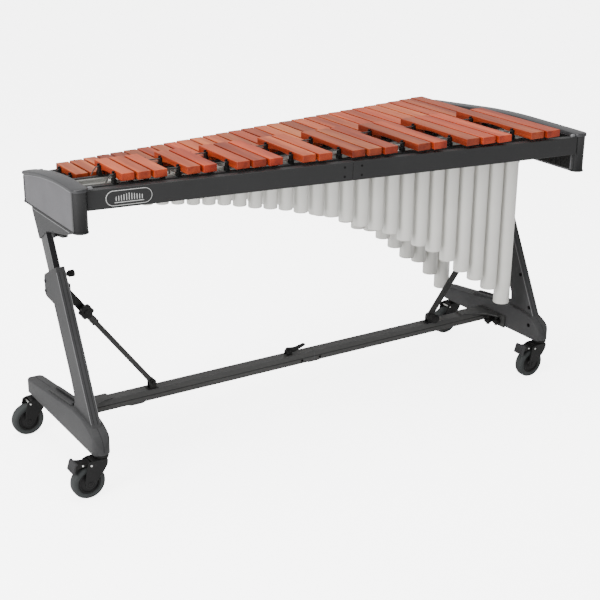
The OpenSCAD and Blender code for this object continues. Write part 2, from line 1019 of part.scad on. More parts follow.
module inner_rails() {
    color(black) placed() {
        inner_rail(natural_near_cord, natural_z - rail_drop);
        inner_rail(natural_far_cord, natural_z - rail_drop);
        inner_rail(accidental_far_cord, accidental_z - rail_drop);
        inner_rail(accidental_near_cord, accidental_z - rail_drop);
    }
}

module rail_end_blocks() {
    size = [16, 10, 12];
    color(silver) placed()
        for (side = [-1, 1]) {
            x = side < 0 ? -panel_in + 4 : panel_in - size[0] - 4;
            front_z = front_rail_z + rail_h;
            back_z = back_rail_z + rail_h;
            translate([x, line_y(front_rail_y, x + size[0] / 2) + 2, front_z])
                cube(size);
            translate([x, line_y(back_rail_y, x + size[0] / 2) - 2 - size[1], back_z])
                cube(size);
        }
}

// ---- Cords and posts -----------------------------------------------------------------
post_d = 16;

module cord_post(x, ends, top) {
    w = bar_gap - 2;
    translate([x - w / 2, line_y(ends, x) - post_d / 2, top - rail_drop])
        cube([w, post_d, rail_drop - cord_drop + 7]);
}

module natural_post_row(ends) {
    difference() {
        for (i = [0 : natural_count])
            cord_post(edge_x(i), ends, natural_z);
        fanned_rod(ends, natural_z - cord_drop, cord_r + 0.4);
    }
}

module natural_cord_posts() {
    color(black) placed() {
        natural_post_row(natural_near_cord);
        natural_post_row(natural_far_cord);
    }
}

// Posts stand half a pitch either side of every accidental bar
module accidental_post_row(ends) {
    difference() {
        for (i = [1 : natural_count - 1]) {
            if (has_accidental(i))
                cord_post(natural_x(i - 1), ends, accidental_z);
            if (has_accidental(i) && !has_accidental(i + 1))
                cord_post(natural_x(i), ends, accidental_z);
        }
        fanned_rod(ends, accidental_z - cord_drop, cord_r + 0.4);
    }
}

module accidental_cord_posts() {
    color(black) placed() {
        accidental_post_row(accidental_far_cord);
        accidental_post_row(accidental_near_cord);
    }
}

first_post_x = natural_x(1) - 8;
last_post_x = natural_x(natural_count - 1) + 8;

module bar_cords() {
    color(black) placed() {
        for (ends = [natural_near_cord, natural_far_cord])
            fanned_rod(ends, natural_z - cord_drop, cord_r, 6 - panel_in, panel_in - 6);
        for (ends = [accidental_far_cord, accidental_near_cord])
            fanned_rod(ends, accidental_z - cord_drop, cord_r, first_post_x, last_post_x);
    }
}

// ---- Bars ----------------------------------------------------------------------------
arch_share = 0.27;
arch_deep = 12;
arch_shallow = 4;

// One bar with a tuning arch cut from its underside
module bar(x, w, y0, y1, top) {
    length = y1 - y0;
    half = length * arch_share;
    depth = lerp(arch_shallow, arch_deep, (x + span / 2) / span);
    radius = (half * half + depth * depth) / (2 * depth);
    difference() {
        translate([x - w / 2, y0, top - bar_t])
            cube([w, length, bar_t]);
        translate([x - w / 2 - 1, (y0 + y1) / 2, top - bar_t + depth - radius])
            rotate([0, 90, 0])
                cylinder(h = w + 2, r = radius, $fn = 192);
    }
}

module natural_bars() {
    color(padouk) placed()
        difference() {
            for (i = [0 : natural_count - 1]) {
                x = natural_x(i);
                w = edge_x(i + 1) - edge_x(i) - bar_gap;
                bar(x, w, line_y(natural_near, x), line_y(natural_far, x), natural_z);
            }
            fanned_rod(natural_near_cord, natural_z - cord_drop, cord_hole_r);
            fanned_rod(natural_far_cord, natural_z - cord_drop, cord_hole_r);
        }
}

module accidental_bars() {
    color(padouk) placed()
        difference() {
            for (i = [1 : natural_count - 1])
                if (has_accidental(i)) {
                    x = edge_x(i);
                    w = pitch_of(i) - bar_gap;
                    y0 = line_y(accidental_near, x);
                    bar(x, w, y0, line_y(accidental_far, x), accidental_z);
                }
            fanned_rod(accidental_far_cord, accidental_z - cord_drop, cord_hole_r);
            fanned_rod(accidental_near_cord, accidental_z - cord_drop, cord_hole_r);
        }
}

// ---- Resonators ----------------------------------------------------------------------
first_front_tube = 2;
natural_tube_z = natural_z - bar_t - tube_gap;
accidental_tube_z = accidental_z - bar_t - tube_gap;
cap_disc_t = 3;

module tube(x, y, top, length) {
    r = tube_radius(x);
    translate([x, y, top - length])
        difference() {
            cylinder(h = length, r = r);
            translate([0, 0, -1])
                cylinder(h = length + 2, r = r - tube_wall);
        }
}

// Angle strip along one side of a row of tubes
module hanger(ends, side, top) {
    gap = 0.4;
    web = 2.5;
    flange = 13;
    a = ends[0] + side * (tube_radius(-panel_in) + gap);
    b = ends[1] + side * (tube_radius(panel_in) + gap);
    shift = side < 0 ? -web : 0;
    wide = side < 0 ? -flange : 0;
    fanned_bar([a + shift, b + shift], web, top - 20, 16);
    fanned_bar([a + wide, b + wide], flange, top - 4, 2.5);
}

module front_resonators() {
    color(tube_grey) placed() {
        for (i = [first_front_tube : natural_count - 1]) {
            x = edge_x(i);
            tube(x, line_y(accidental_tubes, x), accidental_tube_z, tube_length(border_steps(i)));
        }
        hanger(accidental_tubes, -1, accidental_tube_z);
        hanger(accidental_tubes, 1, accidental_tube_z);
    }
}

module back_resonators() {
    color(tube_grey) placed() {
        for (i = [0 : natural_count - 1]) {
            x = natural_x(i);
            tube(x, line_y(natural_tubes, x), natural_tube_z, tube_length(semitones(i)));
        }
        hanger(natural_tubes, -1, natural_tube_z);
        hanger(natural_tubes, 1, natural_tube_z);
    }
}

module tube_cap(x, y, z) {
    translate([x, y, z + 1])
        cylinder(h = cap_disc_t, r = tube_radius(x) - tube_wall - run_gap);
}

module resonator_caps() {
    color(tube_grey) placed() {
        for (i = [first_front_tube : natural_count - 1]) {
            x = edge_x(i);
            bottom = accidental_tube_z - tube_length(border_steps(i));
            tube_cap(x, line_y(accidental_tubes, x), bottom);
        }
        for (i = [0 : natural_count - 1]) {
            x = natural_x(i);
            bottom = natural_tube_z - tube_length(semitones(i));
            tube_cap(x, line_y(natural_tubes, x), bottom);
        }
    }
}

// ---- Badge ---------------------------------------------------------------------------
badge_w = 132;
badge_h = 43;
badge_x = -682;

module name_badge() {
    r = badge_h / 2;
    straight = badge_w / 2 - r;
    angle = atan2(front_rail_y[1] - front_rail_y[0], 2 * panel_in);
    color(silver) placed()
        translate([badge_x, line_y(front_rail_y, badge_x) - face_gap, front_rail_z + rail_h / 2])
            rotate([0, 0, angle])
                rotate([90, 0, 0])
                    linear_extrude(1.2) {
                        translate([-straight, 0])
                            circle(r = r);
                        translate([straight, 0])
                            circle(r = r);
                        square([2 * straight, badge_h], center = true);
                    }
}

left_foot();
right_foot();
left_lower_leg();
right_lower_leg();
beam_left();
beam_right();
beam_coupler();
stand_bolts();
left_beam_bracket();
right_beam_bracket();
cam_lever();
left_brace_arm();
left_brace_tube();
brace_knob();
pivot_brackets();
right_brace_bar();
brace_pivot_knob();
left_height_knob();
right_height_knob();
caster_sockets();
front_left_fork();
front_left_hub();
front_left_tyre();
front_left_brake();
back_left_fork();
back_left_hub();
back_left_tyre();
front_right_fork();
front_right_hub();
front_right_tyre();
front_right_brake();
back_right_fork();
back_right_hub();
back_right_tyre();
left_end_panel();
right_end_panel();
end_caps();
corner_posts();
left_leg_bracket();
right_leg_bracket();
left_upper_leg();
right_upper_leg();
left_lock_lever();
right_lock_lever();
front_rail();
back_rail();
inner_rails();
rail_end_blocks();
natural_cord_posts();
accidental_cord_posts();
bar_cords();
front_resonators();
back_resonators();
resonator_caps();
natural_bars();
accidental_bars();
name_badge();
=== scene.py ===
import math
import random

import bmesh
import bpy
from mathutils import Matrix, Vector


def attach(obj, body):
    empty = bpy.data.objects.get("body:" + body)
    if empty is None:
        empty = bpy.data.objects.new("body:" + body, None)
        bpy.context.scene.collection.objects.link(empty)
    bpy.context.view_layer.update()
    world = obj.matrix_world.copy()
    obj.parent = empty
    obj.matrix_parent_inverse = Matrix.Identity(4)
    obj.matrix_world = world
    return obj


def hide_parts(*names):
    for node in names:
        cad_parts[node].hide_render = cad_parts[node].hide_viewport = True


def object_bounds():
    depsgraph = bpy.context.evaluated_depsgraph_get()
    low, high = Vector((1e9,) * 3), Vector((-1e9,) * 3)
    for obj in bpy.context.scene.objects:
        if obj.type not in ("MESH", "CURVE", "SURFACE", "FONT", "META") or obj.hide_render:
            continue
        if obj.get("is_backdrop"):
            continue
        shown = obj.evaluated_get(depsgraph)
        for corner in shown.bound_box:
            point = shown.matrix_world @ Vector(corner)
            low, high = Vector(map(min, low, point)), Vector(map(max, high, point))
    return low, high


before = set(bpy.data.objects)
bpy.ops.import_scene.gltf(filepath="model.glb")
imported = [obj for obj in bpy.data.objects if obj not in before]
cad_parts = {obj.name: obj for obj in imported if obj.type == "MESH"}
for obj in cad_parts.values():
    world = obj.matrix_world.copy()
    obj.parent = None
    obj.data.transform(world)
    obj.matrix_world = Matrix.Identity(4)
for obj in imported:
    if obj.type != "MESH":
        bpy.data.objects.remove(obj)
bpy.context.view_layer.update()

# Sizes are in millimetres about the point midway between the feet, and SHIFT moves
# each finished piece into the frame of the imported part.
MM = 0.001
SHIFT = Vector((0.034, -0.0175, 0.0))
rng = random.Random(7)


# ---- Shapes --------------------------------------------------------------------------
def lerp(a, b, t):
    return a + (b - a) * t


def rect(a0, a1, b0, b1):
    return [(a0, b0), (a1, b0), (a1, b1), (a0, b1)]


def arc(cx, cy, r, start, end, steps):
    """Points on a circle between two angles in degrees."""
    points = []
    for k in range(steps + 1):
        a = math.radians(lerp(start, end, k / steps))
        points.append((cx + r * math.cos(a), cy + r * math.sin(a)))
    return points


def move(x=0, y=0, z=0):
    return Matrix.Translation((x, y, z))


def turn(axis, degrees):
    return Matrix.Rotation(math.radians(degrees), 4, axis)


ALONG = {"x": turn("Y", 90), "y": turn("X", -90), "-y": turn("X", 90), "z": Matrix.Identity(4),
         "-x": turn("Y", -90), "-z": turn("X", 180)}


class Shape:
    """Gathers closed shells and makes one piece of them."""

    def __init__(self):
        self.bm = bmesh.new()

    def mesh(self, points, faces, place=None):
        if place is not None:
            points = [place @ Vector(p) for p in points]
        made = [self.bm.verts.new(p) for p in points]
        for face in faces:
            self.bm.faces.new([made[i] for i in face])

    def rings(self, rings, place=None):
        """Joins rings of points into one shell and closes both ends."""
        n = len(rings[0])
        points = [p for r in rings for p in r]
        faces = []
        for k in range(len(rings) - 1):
            for i in range(n):
                j = (i + 1) % n
                faces.append((k * n + i, k * n + j, (k + 1) * n + j, (k + 1) * n + i))
        faces.append(tuple(range(n))[::-1])
        faces.append(tuple(range((len(rings) - 1) * n, len(rings) * n)))
        self.mesh(points, faces, place)

    def prism(self, outline, axis, a, b, place=None):
        """Pushes an outline drawn in the other two axes from a to b."""
        spot = {"x": lambda p, h: (h, p[0], p[1]), "y": lambda p, h: (p[0], h, p[1]),
                "z": lambda p, h: (p[0], p[1], h)}[axis]
        self.rings([[spot(p, h) for p in outline] for h in (a, b)], place)

    def box(self, x, y, z, place=None):
        self.prism(rect(*x, *y), "z", *z, place)

    def lathe(self, profile, place, steps=40):
        """Spins (radius, height) points about the local Z axis and closes both ends flat."""
        rings = []
        for r, h in profile:
            turns = [2 * math.pi * i / steps for i in range(steps)]
            rings.append([(r * math.cos(a), r * math.sin(a), h) for a in turns])
        self.rings(rings, place)

    def hoop(self, profile, place, steps=40):
        """Spins a closed (radius, height) outline that stays clear of the axis."""
        n = len(profile)
        points, faces = [], []
        for i in range(steps):
            a = 2 * math.pi * i / steps
            points += [(r * math.cos(a), r * math.sin(a), h) for r, h in profile]
            for k in range(n):
                m = (k + 1) % n
                j = (i + 1) % steps
                faces.append((i * n + k, i * n + m, j * n + m, j * n + k))
        self.mesh(points, faces, place)

    def disc(self, r, a, b, place, steps=32, soft=0.8):
        soft = min(soft, abs(b - a) / 2.5, r / 3)
        self.lathe([(r - soft, a), (r, a + soft), (r, b - soft), (r - soft, b)], place, steps)

    def sweep(self, points, r, steps=12):
        """A round rod along a line of points."""
        pts = [Vector(p) for p in points]
        side = None
        rings = []
        for i, p in enumerate(pts):
            d = (pts[min(i + 1, len(pts) - 1)] - pts[max(i - 1, 0)]).normalized()
            if side is None:
                side = d.orthogonal().normalized()
            side = (side - d * side.dot(d)).normalized()
            up = d.cross(side)
            rings.append([p + (side * math.cos(t) + up * math.sin(t)) * r
                          for t in (2 * math.pi * k / steps for k in range(steps))])
        self.rings(rings)

    def hex_bolt(self, place, r=6.5, h=4.5):
        """A hexagon head with a washer, standing on the local XY plane."""
        self.disc(r * 1.35, 0, 1.3, place, 24, 0.3)
        head = [(r * 0.93, 1.3), (r, 1.8), (r, h - 0.8), (r * 0.86, h)]
        self.lathe(head, place @ turn("Z", rng.uniform(0, 60)), 6)

    def screw(self, place, r=4.0, h=2.2):
        """A pan head with a hexagon socket."""
        self.lathe([(r, 0), (r, h * 0.5), (r * 0.75, h), (r * 0.5, h), (r * 0.45, h - 1.4)], place, 24)

    def piece(self, name, body, look, slot, nodes=(), bevel=0.0, steps=3, angle=40, tone=None):
        bmesh.ops.recalc_face_normals(self.bm, faces=self.bm.faces)
        for v in self.bm.verts:
            v.co = v.co * MM + SHIFT
        data = bpy.data.meshes.new(name)
        self.bm.to_mesh(data)
        self.bm.free()
        for p in data.polygons:
            p.use_smooth = True
        data.set_sharp_from_angle(angle=math.radians(angle))
        data.materials.append(look)
        obj = bpy.data.objects.new(name, data)
        bpy.context.scene.collection.objects.link(obj)
        if bevel:
            m = obj.modifiers.new("soft edges", "BEVEL")
            m.width = bevel * MM
            m.segments = steps
            m.limit_method = "ANGLE"
            m.angle_limit = math.radians(50)
            w = obj.modifiers.new("flat shading", "WEIGHTED_NORMAL")
            w.keep_sharp = False
        if tone:
            obj.color = tone
        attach(obj, body)
        if nodes:
            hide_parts(*nodes)
        return obj


# ---- Materials -----------------------------------------------------------------------
def node(tree, kind, **inputs):
    n = tree.nodes.new(kind)
    for key, value in inputs.items():
        if key in n.inputs:
            n.inputs[key].default_value = value
        else:
            setattr(n, key, value)
    return n


def start(name):
    m = bpy.data.materials.new(name)
    m.use_nodes = True
    t = m.node_tree
    t.nodes.clear()
    out = t.nodes.new("ShaderNodeOutputMaterial")
    p = t.nodes.new("ShaderNodeBsdfPrincipled")
    t.links.new(p.outputs[0], out.inputs[0])
    return m, t, p


def noise(t, where, scale, detail=4.0, stretch=(1, 1, 1)):
    """A noise texture over the piece, stretched along an axis."""
    mapping = t.nodes.new("ShaderNodeMapping")
    mapping.inputs["Scale"].default_value = stretch
    t.links.new(where, mapping.inputs[0])
    n = node(t, "ShaderNodeTexNoise", Scale=scale, Detail=detail)
    t.links.new(mapping.outputs[0], n.inputs["Vector"])
    return n.outputs["Fac"]


def ramp(t, value, stops):
    r = t.nodes.new("ShaderNodeValToRGB")
    r.color_ramp.elements[0].position, r.color_ramp.elements[0].color = stops[0][0], (*stops[0][1], 1)
    r.color_ramp.elements[1].position, r.color_ramp.elements[1].color = stops[-1][0], (*stops[-1][1], 1)
    for spot, colour in stops[1:-1]:
        r.color_ramp.elements.new(spot).color = (*colour, 1)
    t.links.new(value, r.inputs[0])
    return r.outputs[0]


def spread(t, value, low, high):
    m = t.nodes.new("ShaderNodeMapRange")
    m.inputs["To Min"].default_value = low
    m.inputs["To Max"].default_value = high
    t.links.new(value, m.inputs[0])
    return m.outputs[0]


def coated(name, colour, rough, grain=900.0, bump=0.15, patch=0.12, metal=0.0,
           stretch=(1, 1, 1), edge=0.0, shine=0.16):
    """Paint, moulded plastic or metal, with a fine surface grain, soft patches of tone and, where edge is
    set, a painted highlight on each sharp edge.
    """
    m, t, p = start(name)
    where = t.nodes.new("ShaderNodeTexCoord").outputs["Object"]
    broad = noise(t, where, 9.0, 5.0)
    fine = noise(t, where, grain, 2.0, stretch)
    dark = tuple(c * (1 - patch) for c in colour)
    light = tuple(min(1, c * (1 + patch)) for c in colour)
    tone = ramp(t, broad, [(0.3, dark), (0.7, light)])
    # Painted highlight: each sharp convex edge, found by pointiness, is made lighter by edge
    if edge:
        geometry = t.nodes.new("ShaderNodeNewGeometry")
        rim = ramp(t, geometry.outputs["Pointiness"], [(0.5, (0, 0, 0)), (0.6, (edge, edge, edge))])
        mix = node(t, "ShaderNodeMix", data_type="RGBA", blend_type="ADD")
        mix.inputs[0].default_value = 1.0
        t.links.new(tone, mix.inputs[6])
        t.links.new(rim, mix.inputs[7])
        tone = mix.outputs[2]
    t.links.new(tone, p.inputs["Base Color"])
    t.links.new(spread(t, fine, rough - 0.08, rough + 0.08), p.inputs["Roughness"])
    p.inputs["Metallic"].default_value = metal
    p.inputs["Specular IOR Level"].default_value = 0.5 if metal else shine
    b = node(t, "ShaderNodeBump", Strength=bump, Distance=0.0006)
    t.links.new(fine, b.inputs["Height"])
    t.links.new(b.outputs[0], p.inputs["Normal"])
    return m


def timber(name, deep, middle, pale):
    """Oiled padouk with the grain along Y, its tone set by each bar's own colour."""
    m, t, p = start(name)
    where = t.nodes.new("ShaderNodeTexCoord").outputs["Object"]
    info = t.nodes.new("ShaderNodeObjectInfo")
    push = t.nodes.new("ShaderNodeVectorMath")
    push.operation = "MULTIPLY_ADD"
    push.inputs[1].default_value = (7.3, 11.9, 3.1)
    t.links.new(info.outputs["Color"], push.inputs[0])
    t.links.new(where, push.inputs[2])
    figure = noise(t, push.outputs[0], 26.0, 6.0, (1.0, 0.07, 1.0))
    fibre = noise(t, push.outputs[0], 420.0, 3.0, (1.0, 0.035, 1.0))
    pores = noise(t, push.outputs[0], 900.0, 1.0, (1.0, 0.05, 1.0))
    tone = ramp(t, figure, [(0.3, deep), (0.5, middle), (0.72, pale)])
    streak = ramp(t, fibre, [(0.35, (0.68, 0.6, 0.56)), (0.6, (1.05, 1.03, 1.0))])
    mix = node(t, "ShaderNodeMix", data_type="RGBA", blend_type="MULTIPLY")
    mix.inputs[0].default_value = 0.8
    t.links.new(tone, mix.inputs[6])
    t.links.new(streak, mix.inputs[7])
    own = node(t, "ShaderNodeMix", data_type="RGBA", blend_type="MULTIPLY")
    own.inputs[0].default_value = 1.0
    t.links.new(mix.outputs[2], own.inputs[6])
    t.links.new(info.outputs["Color"], own.inputs[7])
    # Painted shade: the sides, ends and underside, which turn away from up, are darker than the top
    up = t.nodes.new("ShaderNodeSeparateXYZ")
    t.links.new(t.nodes.new("ShaderNodeNewGeometry").outputs["Normal"], up.inputs[0])
    face = ramp(t, up.outputs["Z"], [(0.2, (0.8, 0.5, 0.36)), (0.85, (1, 1, 1))])
    shade = node(t, "ShaderNodeMix", data_type="RGBA", blend_type="MULTIPLY")
    shade.inputs[0].default_value = 1.0
    t.links.new(own.outputs[2], shade.inputs[6])
    t.links.new(face, shade.inputs[7])
    t.links.new(shade.outputs[2], p.inputs["Base Color"])
    t.links.new(spread(t, fibre, 0.34, 0.56), p.inputs["Roughness"])
    p.inputs["Specular IOR Level"].default_value = 0.3
    b = node(t, "ShaderNodeBump", Strength=0.25, Distance=0.0004)
    t.links.new(pores, b.inputs["Height"])
    t.links.new(b.outputs[0], p.inputs["Normal"])
    return m


def woven(name, colour):
    """Twisted cord."""
    m, t, p = start(name)
    where = t.nodes.new("ShaderNodeTexCoord").outputs["Object"]
    wave = node(t, "ShaderNodeTexWave", Scale=260.0, Distortion=1.5)
    wave.bands_direction = "DIAGONAL"
    t.links.new(where, wave.inputs["Vector"])
    dark = tuple(c * 0.5 for c in colour)
    t.links.new(ramp(t, wave.outputs["Fac"], [(0.1, dark), (0.8, colour)]), p.inputs["Base Color"])
    p.inputs["Roughness"].default_value = 0.85
    b = node(t, "ShaderNodeBump", Strength=0.5, Distance=0.0004)
    t.links.new(wave.outputs["Fac"], b.inputs["Height"])
    t.links.new(b.outputs[0], p.inputs["Normal"])
    return m


CASTING = coated("casting", (0.027, 0.027, 0.028), 0.55, 700, 0.3, 0.12, edge=0.04)
# Dark casting, also used for dark strips that are painted shade in the leg grooves and on the sliding tube's
# front face
CASTING_DARK_AND_SHADE = coated("dark casting and painted shade", (0.012, 0.012, 0.013), 0.5, 700, 0.25)
# Paint of the sliding tube, also used for light rods that are painted highlights on the edge of the beam and
# of the gusset
TUBE_LEG_AND_HIGHLIGHT = coated("sliding tube", (0.045, 0.045, 0.046), 0.5, 800, 0.15, 0.1, edge=0.03)
BEAM = coated("beam paint", (0.022, 0.022, 0.021), 0.45, 800, 0.15, edge=0.03)
PANEL = coated("textured panel", (0.122, 0.12, 0.126), 0.8, 520, 0.9, 0.08)
PANEL_IN = coated("panel lining", (0.01, 0.01, 0.01), 0.6, 520, 0.5, 0.1)
EDGE = coated("smooth edge plastic", (0.016, 0.016, 0.018), 0.34, 900, 0.1, 0.08, edge=0.04, shine=0.28)
# Light trim for the rail end blocks, and the paint of the light rods and strips that are painted edge
# highlights
TRIM_AND_HIGHLIGHT = coated("light trim and painted edge highlight", (0.17, 0.17, 0.175), 0.45, 900, 0.1, 0.06)
RAIL = coated("rail paint", (0.0095, 0.0095, 0.01), 0.4, 900, 0.12, 0.12, edge=0.03)
TUBE = coated("resonator tube", (0.66, 0.655, 0.62), 0.38, 260, 0.06, 0.04, metal=0.25, stretch=(1, 1, 0.04))
TUBE_IN = coated("resonator strip", (0.2, 0.2, 0.185), 0.4, 500, 0.08, 0.06, metal=0.4)
BLACK = coated("moulded black", (0.0085, 0.0085, 0.0085), 0.42, 800, 0.25, 0.15)
GRIP = coated("pedal plastic", (0.03, 0.03, 0.031), 0.5, 800, 0.3, 0.15)
RUBBER = coated("tyre rubber", (0.034, 0.037, 0.037), 0.6, 600, 0.35, 0.1)
HUB = coated("hub plastic", (0.0095, 0.0095, 0.0095), 0.4, 700, 0.2)
ZINC = coated("zinc", (0.62, 0.62, 0.6), 0.3, 500, 0.12, 0.12, metal=1.0)
# Blackened bolts and screws, also used for the black discs that are painted shade in each cord hole of the
# bars
BOLT_AND_HOLE_SHADE = coated("blackened bolt and painted hole shade", (0.004, 0.004, 0.004), 0.7, 900, 0.15, shine=0.03)
BADGE = coated("badge metal", (0.6, 0.6, 0.59), 0.38, 300, 0.12, 0.08, metal=0.6, stretch=(0.05, 0.05, 1))
PADOUK = timber("padouk", (0.3, 0.043, 0.012), (0.55, 0.1, 0.03), (0.72, 0.17, 0.055))
CORD = woven("bar cord", (0.06, 0.058, 0.055))

# ---- Measures shared with the part -----------------------------------------------------
FOOT_X, FOOT_IN, PANEL_X, PANEL_IN_X = 825, 798, 819, 798
PANEL_HALF = 21
POST_FRONT, POST_BACK = (-175, -362), (184, 397)
CAP_MID, CAP_FRONT, CAP_BACK, CAP_T = 885, 881, 849, 9
NATURAL_Z, ACCIDENTAL_Z, BAR_T, GAP = 873, 902, 22, 7.5
NATURALS = 29
PITCH = (45.2, 59.9)
SPAN = NATURALS * sum(PITCH) / 2
NAT_NEAR, NAT_FAR = (-12, -12), (126, 395)
ACC_FAR, ACC_NEAR = (13, 13), (-153, -384)
FRONT_RAIL, BACK_RAIL = (-182, -378), (188, 398)
FRONT_RAIL_LOW, BACK_RAIL_LOW, RAIL_H, RAIL_T = 814, 782, 57, 25
SHARE, CORD_DROP, RAIL_DROP = 0.224, 11, 37
PANEL_LOW = 755
# Semitones below the highest note for each natural of the falling scale C B A G F E D
SCALE = (0, 1, 3, 5, 7, 8, 10)
SOUND_SPEED, TOP_HZ = 343000, 2093
TUBE_SHARE, TUBE_EXTRA, TUBE_GAP = 0.917, 34.6, 14


def line(ends, x):
    """Where a line fanned between the two end panels is at x."""
    return lerp(ends[0], ends[1], (x + PANEL_IN_X) / (2 * PANEL_IN_X))


def between(a, b, s):
    return (lerp(a[0], b[0], s), lerp(a[1], b[1], s))


def pitch(i):
    return lerp(*PITCH, i / (NATURALS - 1))


def edge_x(i):
    return -SPAN / 2 + i * PITCH[0] + (PITCH[1] - PITCH[0]) * i * (i - 1) / (2 * (NATURALS - 1))


def natural_x(i):
    return (edge_x(i) + edge_x(i + 1)) / 2


def semis(i):
    return 12 * (i // 7) + SCALE[i % 7]


def tube_length(s):
    """A straight line in the quarter wavelength; the short tubes come out longer than they need."""
    return TUBE_SHARE * SOUND_SPEED / (4 * TOP_HZ * 2 ** (-s / 12)) + TUBE_EXTRA


def tube_r(x):
    return lerp(17.5, 28, (x + SPAN / 2) / SPAN)


BLACK_KEYS = [i for i in range(1, NATURALS) if semis(i) - semis(i - 1) == 2]
NAT_CORDS = (between(NAT_NEAR, NAT_FAR, SHARE), between(NAT_NEAR, NAT_FAR, 1 - SHARE))
ACC_CORDS = (between(ACC_FAR, ACC_NEAR, SHARE), between(ACC_FAR, ACC_NEAR, 1 - SHARE))
NAT_TUBES, ACC_TUBES = between(NAT_NEAR, NAT_FAR, 0.5), between(ACC_FAR, ACC_NEAR, 0.5)


# ---- Bars ------------------------------------------------------------------------------
cord_hole_shade = Shape()


def make_bar(name, x, w, y0, y1, top, nodes):
    s = Shape()
    length, mid = y1 - y0, (y0 + y1) / 2
    depth = lerp(4, 12, (x + SPAN / 2) / SPAN)
    low = top - BAR_T
    outline = [(y0, top), (y0, low)]
    for k in range(19):
        u = -1 + k / 9
        outline.append((mid + 0.27 * length * u, low + depth * (1 - u * u)))
    outline += [(y1, low), (y1, top)]
    s.prism(outline, "x", x - w / 2, x + w / 2)
    t = rng.uniform(0.46, 0.88)
    warm = rng.uniform(-0.26, 0.26)
    tone = (t * (1 + warm * 0.15), t * (1 - warm), t * (1 - warm * 1.3), 1)
    s.piece(name, "keyboard", PADOUK, "bar_wood", nodes, bevel=2.0, steps=3, tone=tone)
    # Painted shade: black discs on both sides of the bar stand in for the dark inside of each cord hole
    for share in (SHARE, 1 - SHARE):
        y = lerp(y0, y1, share)
        for side, way in ((-1, "-x"), (1, "x")):
            cord_hole_shade.disc(3.2, -1.0, 0.06, move(x + side * w / 2, y, top - CORD_DROP) @ ALONG[way], 20, 0.02)


for i in range(NATURALS):
    x = natural_x(i)
    make_bar(f"natural_bar_{i + 1:02d}", x, pitch(i) - GAP, line(NAT_NEAR, x), line(NAT_FAR, x),
             NATURAL_Z, ["natural_bars"] if i == 0 else [])
for n, i in enumerate(BLACK_KEYS):
    x = edge_x(i)
    make_bar(f"accidental_bar_{n + 1:02d}", x, pitch(i) - GAP, line(ACC_NEAR, x), line(ACC_FAR, x),
             ACCIDENTAL_Z, ["accidental_bars"] if n == 0 else [])
cord_hole_shade.piece("bar_cord_holes", "keyboard", BOLT_AND_HOLE_SHADE, "bar_wood")

# ---- Cords and posts -------------------------------------------------------------------
# A cord post seen along its rail, as (y, z) from the middle of its foot
HOOK = [(-8, 0), (8, 0), (8, 26), (8.6, 30), (6, 34), (-1, 34.5), (-1, 31), (2.6, 30), (3.4, 26.5),
        (1.6, 24), (-1.6, 24), (-3.4, 26), (-3.8, 30), (-7.5, 31)]


def post_rows(name, spots, cords, top):
    s = Shape()
    for ends in cords:
        for x in spots:
            y = line(ends, x)
            s.prism([(y + a, top - RAIL_DROP + b) for a, b in HOOK], "x", x - 2.75, x + 2.75)
            s.box((x - 5.4, x + 5.4), (y - 9, y + 9), (top - RAIL_DROP - 0.3, top - RAIL_DROP + 13))
    s.piece(name, "keyboard", BLACK, "post_black", [name], bevel=0.6, steps=2)


post_rows("natural_cord_posts", [edge_x(i) for i in range(NATURALS + 1)], NAT_CORDS, NATURAL_Z)
accidental_spots = sorted({natural_x(i - 1) for i in BLACK_KEYS} | {natural_x(i) for i in BLACK_KEYS})
post_rows("accidental_cord_posts", accidental_spots, ACC_CORDS, ACCIDENTAL_Z)

cords = Shape()
for ends in NAT_CORDS:
    z = NATURAL_Z - CORD_DROP
    cords.sweep([(x, line(ends, x), z) for x in (-790, -400, 0, 400, 790)], 1.8)
for ends in ACC_CORDS:
    z = ACCIDENTAL_Z - CORD_DROP
    a, b = accidental_spots[0], accidental_spots[-1]
    path = [(a - 24, z - 22), (a - 17, z - 9), (a - 9, z - 1), (a - 3, z), (0, z),
            (b + 3, z), (b + 9, z - 1), (b + 17, z - 9), (b + 24, z - 22)]
    cords.sweep([(x, line(ends, x), h) for x, h in path], 1.8)
cords.piece("bar_cords", "keyboard", CORD, "cord", ["bar_cords"])


# ---- Rails -----------------------------------------------------------------------------
def fanned(s, ends, t, z0, z1, x0=-PANEL_IN_X, x1=PANEL_IN_X):
    """A flat bar t thick along a fanned line."""
    y0, y1 = line(ends, x0), line(ends, x1)
    s.prism([(x0, y0), (x1, y1), (x1, y1 + t), (x0, y0 + t)], "z", z0, z1)


def on_line(ends, x, z, away=0.0):
    """A place on a fanned line, with its local Z pointing towards the audience."""
    angle = math.degrees(math.atan2(ends[1] - ends[0], 2 * PANEL_IN_X))
    return move(x, line(ends, x), z) @ turn("Z", angle) @ move(0, -away, 0) @ turn("X", 90)


